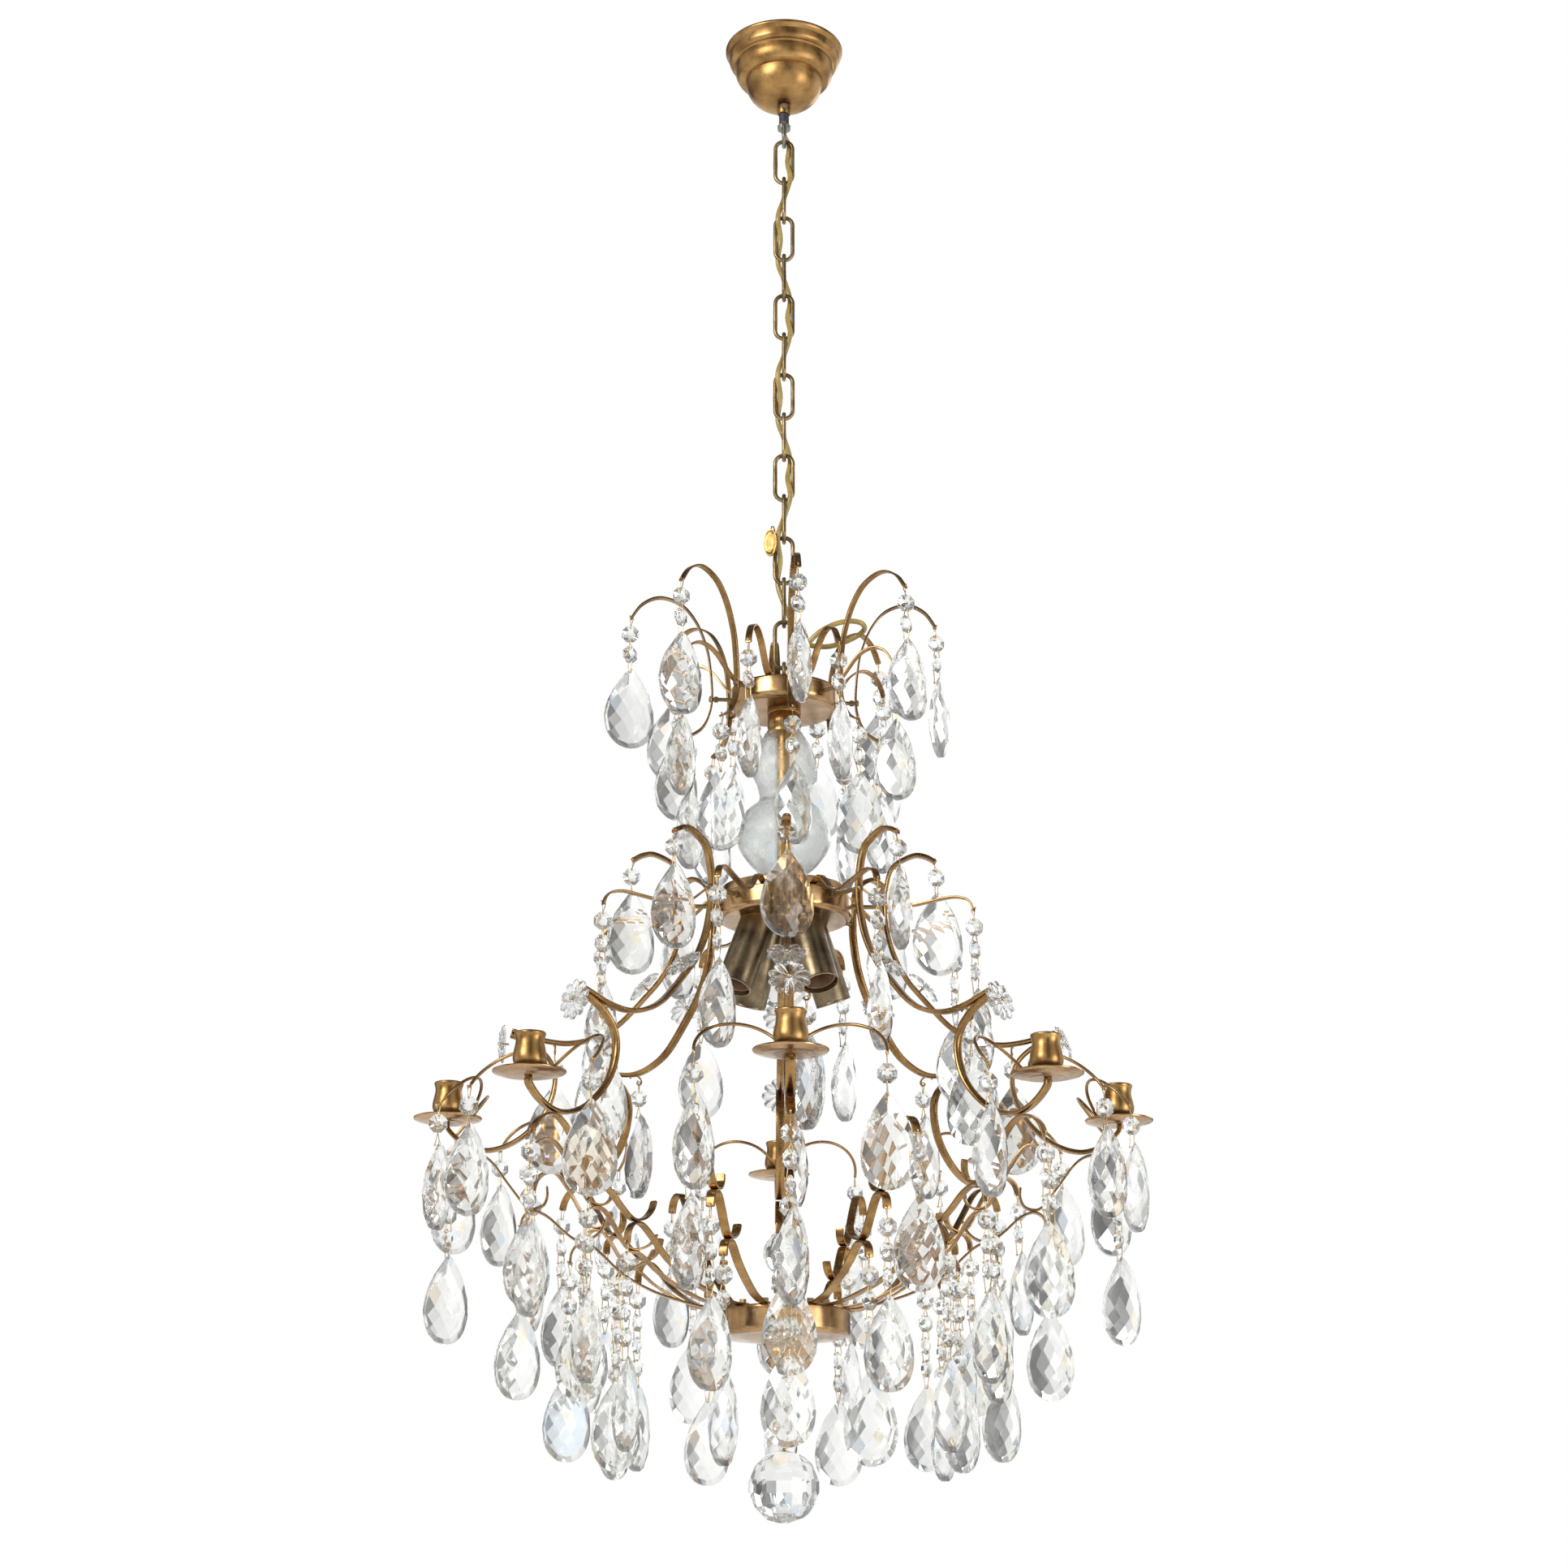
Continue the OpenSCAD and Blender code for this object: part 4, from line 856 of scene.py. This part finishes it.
# ---------------------------------------------------------------- finial
ball = [(18.5 * cos(radians(a)), -119 + 18.5 * sin(radians(a))) for a in range(-62, 85, 5)]
foot = [(3, -150), (10.8, -150), (11.4, -149.6), (11.4, -148.6), (9.8, -146.2), (7.6, -143.4), (7.0, -141.4),
        (7.6, -139.4)]
Part("finial_glass").add(lathe(foot + ball + [(0, -100.5)], 96), shift(0, 0, PAN)).done(
    "frame", "pressed_glass", "glass_finial", edge=40)

# ---------------------------------------------------------------- crystal dressing
beads, wires = Part("beads_cut"), Part("bead_wires")
sets = {n: Part(n + "_cut") for n in ("crown_pendants", "middle_pendants", "horn_pendants", "basket_pendants",
                                      "inner_pendants")}


def end_of(node, first):
    pts = LINES[node]
    return pts[0] if first else pts[-1]


def dress(group, kind, tip, n, w, look, side, hook, hook_dir):
    """A ring of eight strings that hang from one tip of each arm's piece."""
    for k in range(ARMS):
        place = ring_place(kind, k) @ shift(tip[0], side, tip[1] + PAN)
        front = facing(kind, k)
        string(beads, sets[group], wires, place, n, w, 78, front + 12 * (k % 3), front + LOOK[look][k],
               hook_dir, hook)


def tip_hook(node, first):
    """Point of the strip's hole and its direction, seen from the strip's end."""
    pts = LINES[node] if first else LINES[node][::-1]
    a, b = Vector(pts[0]), Vector(pts[1])
    d = (b - a).normalized()
    return (d.x * 2.2, 0, d.y * 2.2), (d.y, 0, -d.x)


# group, ring, strip, whether at its first end, beads, almond width
RINGS = (
    ("crown_pendants", "crown", "crown_ribs", True, 2, 50),
    ("crown_pendants", "crown", "crown_ribs", False, 2, 44),
    ("crown_pendants", "crown_strip", "crown_strips", False, 2, 44),
    ("middle_pendants", "main", "main_ribs", True, 1, 50),
    ("middle_pendants", "inner", "mid_strips", False, 3, 44),
    ("basket_pendants", "main", "basket_ribs_top", True, 3, 44),
    ("basket_pendants", "main", "basket_ribs_mid", True, 3, 44),
    ("basket_pendants", "main", "basket_ribs_low", True, 4, 44),
    ("inner_pendants", "inner", "inner_ribs_top", True, 2, 44),
    ("inner_pendants", "inner", "inner_ribs_mid", True, 3, 44),
    ("inner_pendants", "inner", "inner_ribs_low", True, 4, 44),
)
for group, kind, node, first, n, w in RINGS:
    hook, direction = tip_hook(node, first)
    look = node if node != "crown_ribs" else "crown_tips" if first else "crown_feet"
    dress(group, kind, end_of(node, first), n, w, look, 0.0, hook, direction)
for side, look in ((HORN_SIDE, "right_horns"), (-HORN_SIDE, "left_horns")):
    dress("horn_pendants", "main", (CANDLE_R, -3), 1, 44, look, side, (0, 0, 1.4), (1, 0, 0))
for name, part in sets.items():
    part.done("frame", "crystal", name)
beads.done("frame", "crystal", "bead_strings")
wires.done("frame", "wire_brass", slot="gold_brass")

for k in range(ARMS):
    stone, wire = Part("arm_drop_%d" % (k + 1)), Part("arm_drop_wire_%d" % (k + 1))
    place = ring_place("main", k) @ shift(ARM_HANG[0], ARM_SIDE[k], ARM_HANG[1] + PAN)
    front = facing("main", k)
    string(stone, stone, wire, place, 1, 50, 81, front, front + LOOK["arms"][k], (0, 1, 0), (0, 0, 1.5), 1.6)
    body = "pendant_%d" % (k + 1)
    stone.done(body, "crystal", "arm_pendant_%d" % (k + 1))
    wire.done(body, "wire_brass", slot="gold_brass")

stone, wire = Part("ball_cut"), Part("ball_wires")
place = shift(0, 0, PAN + BALL_HANG)
string(stone, stone, wire, place, 3, 50, 0, 90, 0, (0, 1, 0), (0, 0, 1.5), 2.2)
stone.add(cut_ball(BALL_R), shift(0, 0, PAN + BALL_Z), flat=True, spark=True)
last = BALL_HANG - BEAD_DROP - 2 * BEAD_PITCH - BEAD_HOLE
pin(wire, (0, 0, PAN + last), turn(170) @ Vector((0, 1, 0)), (0, 0, PAN + BALL_Z + BALL_R + 1.2), (1, 0, 0),
    BEAD_BAR, 1.6)
wire.add(lathe([(0, -2.0), (2.6, -2.0), (2.8, -0.6), (1.2, 0.4), (0.9, 1.8), (0, 2.2)], 24),
         shift(0, 0, PAN + BALL_Z + BALL_R - 0.4))
stone.done("ball", "crystal", "crystal_ball")
wire.done("ball", "wire_brass", slot="gold_brass")

# hooks that carry the arm drops
HOOK = ((3.4, 67.2), (6, 69.8), (10, 70.8), (15.4, 69.4), (18.1, 66.2), (16.8, 63.0), (14.0, 62.4), (12.2, 64.2))
hooks = Part("arm_hooks")
for k in range(ARMS):
    place = ring_place("main", k) @ shift(0, 0, PAN)
    q = copysign(1, ARM_SIDE[k])
    path = smooth([(ARM_HANG[0], q * y, z) for y, z in HOOK], 5)
    hooks.add(tube(path, 0.9, 8), place)
hooks.done("frame", "aged_brass")

# ---------------------------------------------------------------- carried-over CAD nodes
for sub in frame["record"]["subparts"]:
    ob = frame["nodes"][sub["node"]]
    mat = MAT[sub["material_slot"]]
    if len(ob.material_slots) == 0:
        ob.data.materials.append(mat)
    for s in ob.material_slots:
        s.material = mat

# ---------------------------------------------------------------- stage and light
floor_mat, nodes, floor_links, bsdf = new_material("floor_pale")
vec = nodes.new("ShaderNodeTexCoord").outputs["Object"]
grain = noise_at(nodes, floor_links, vec, 3, 4)
floor_links.new(ramp(nodes, floor_links, grain, [(0.3, (0.86, 0.86, 0.855)), (0.7, (0.9, 0.9, 0.895))]),
                bsdf.inputs["Base Color"])
bsdf.inputs["Roughness"].default_value = 0.9
fm = bpy.data.meshes.new("floor")
fm.from_pydata([(-12, -12, -3.1), (12, -12, -3.1), (12, 12, -3.1), (-12, 12, -3.1)], [], [(0, 1, 2, 3)])
fm.materials.append(floor_mat)
floor = bpy.data.objects.new("floor", fm)
bpy.context.scene.collection.objects.link(floor)

world = bpy.data.worlds.new("studio")
bpy.context.scene.world = world
world.use_nodes = True
wn, wl = world.node_tree.nodes, world.node_tree.links
wn.clear()
out = wn.new("ShaderNodeOutputWorld")
bg_seen, mixer = wn.new("ShaderNodeBackground"), wn.new("ShaderNodeMixShader")
ray = wn.new("ShaderNodeLightPath")
bg_seen.inputs["Color"].default_value = (1, 1, 1, 1)
bg_seen.inputs["Strength"].default_value = 1.0
coord = wn.new("ShaderNodeTexCoord").outputs["Generated"]
sep = wn.new("ShaderNodeSeparateXYZ")
wl.new(coord, sep.inputs[0])
angle = wn.new("ShaderNodeMath")
angle.operation = "ARCTAN2"
wl.new(sep.outputs["X"], angle.inputs[0])
wl.new(sep.outputs["Y"], angle.inputs[1])
# five bright bars round the horizon, turned by BAR_SHIFT radians
BAR_COUNT, BAR_SHIFT = 5.0, 0.9
bars = wn.new("ShaderNodeMath")
bars.operation = "MULTIPLY_ADD"
wl.new(angle.outputs[0], bars.inputs[0])
bars.inputs[1].default_value = BAR_COUNT
bars.inputs[2].default_value = BAR_SHIFT
wave = wn.new("ShaderNodeMath")
wave.operation = "COSINE"
wl.new(bars.outputs[0], wave.inputs[0])
swing = span(wn, wl, wave.outputs[0], 0, 1, -1, 1)
rise = span(wn, wl, sep.outputs["Z"], 0, 1, -1, 1)


def sky(around, up):
    """Background whose brightness follows the azimuth and the height."""
    node = wn.new("ShaderNodeBackground")
    wl.new(mix(wn, wl, 1.0, ramp(wn, wl, swing, [(at, (c,) * 3) for at, c in around]),
               ramp(wn, wl, rise, [(at, (c,) * 3) for at, c in up]), "MULTIPLY"), node.inputs["Color"])
    return node


# what metal mirrors has strong contrast; what lights the rest and shows through glass is nearly even
bg_metal = sky([(0.0, 0.04), (0.2, 0.1), (0.42, 0.9), (1.0, 1.15)],
               [(0.0, 0.5), (0.35, 0.85), (0.5, 1.0), (0.72, 0.8), (0.9, 0.3)])
bg_light = sky([(0.0, 0.7), (0.08, 0.8), (0.16, 1.15), (1.0, 1.25)],
               [(0.0, 0.95), (0.35, 1.0), (0.5, 1.05), (0.72, 1.0), (0.9, 0.85)])
split = wn.new("ShaderNodeMixShader")
wl.new(ray.outputs["Is Glossy Ray"], split.inputs[0])
wl.new(bg_light.outputs[0], split.inputs[1])
wl.new(bg_metal.outputs[0], split.inputs[2])
wl.new(ray.outputs["Is Camera Ray"], mixer.inputs[0])
wl.new(split.outputs[0], mixer.inputs[1])
wl.new(bg_seen.outputs[0], mixer.inputs[2])
wl.new(mixer.outputs[0], out.inputs["Surface"])


def area(name, at, look, size, power):
    data = bpy.data.lights.new(name, "AREA")
    data.shape = "RECTANGLE"
    data.size, data.size_y = size
    data.energy = power
    ob = bpy.data.objects.new(name, data)
    ob.location = at
    ob.rotation_euler = (Vector(look) - Vector(at)).to_track_quat("-Z", "Y").to_euler()
    bpy.context.scene.collection.objects.link(ob)


area("key", (-2.2, -2.4, 0.4), (0, 0, -1.0), (1.4, 1.4), 70)
area("fill", (2.6, -1.8, -1.4), (0, 0, -1.0), (1.2, 1.8), 32)
area("rim", (1.4, 2.6, 0.3), (0, 0, -0.9), (1.0, 1.6), 12)
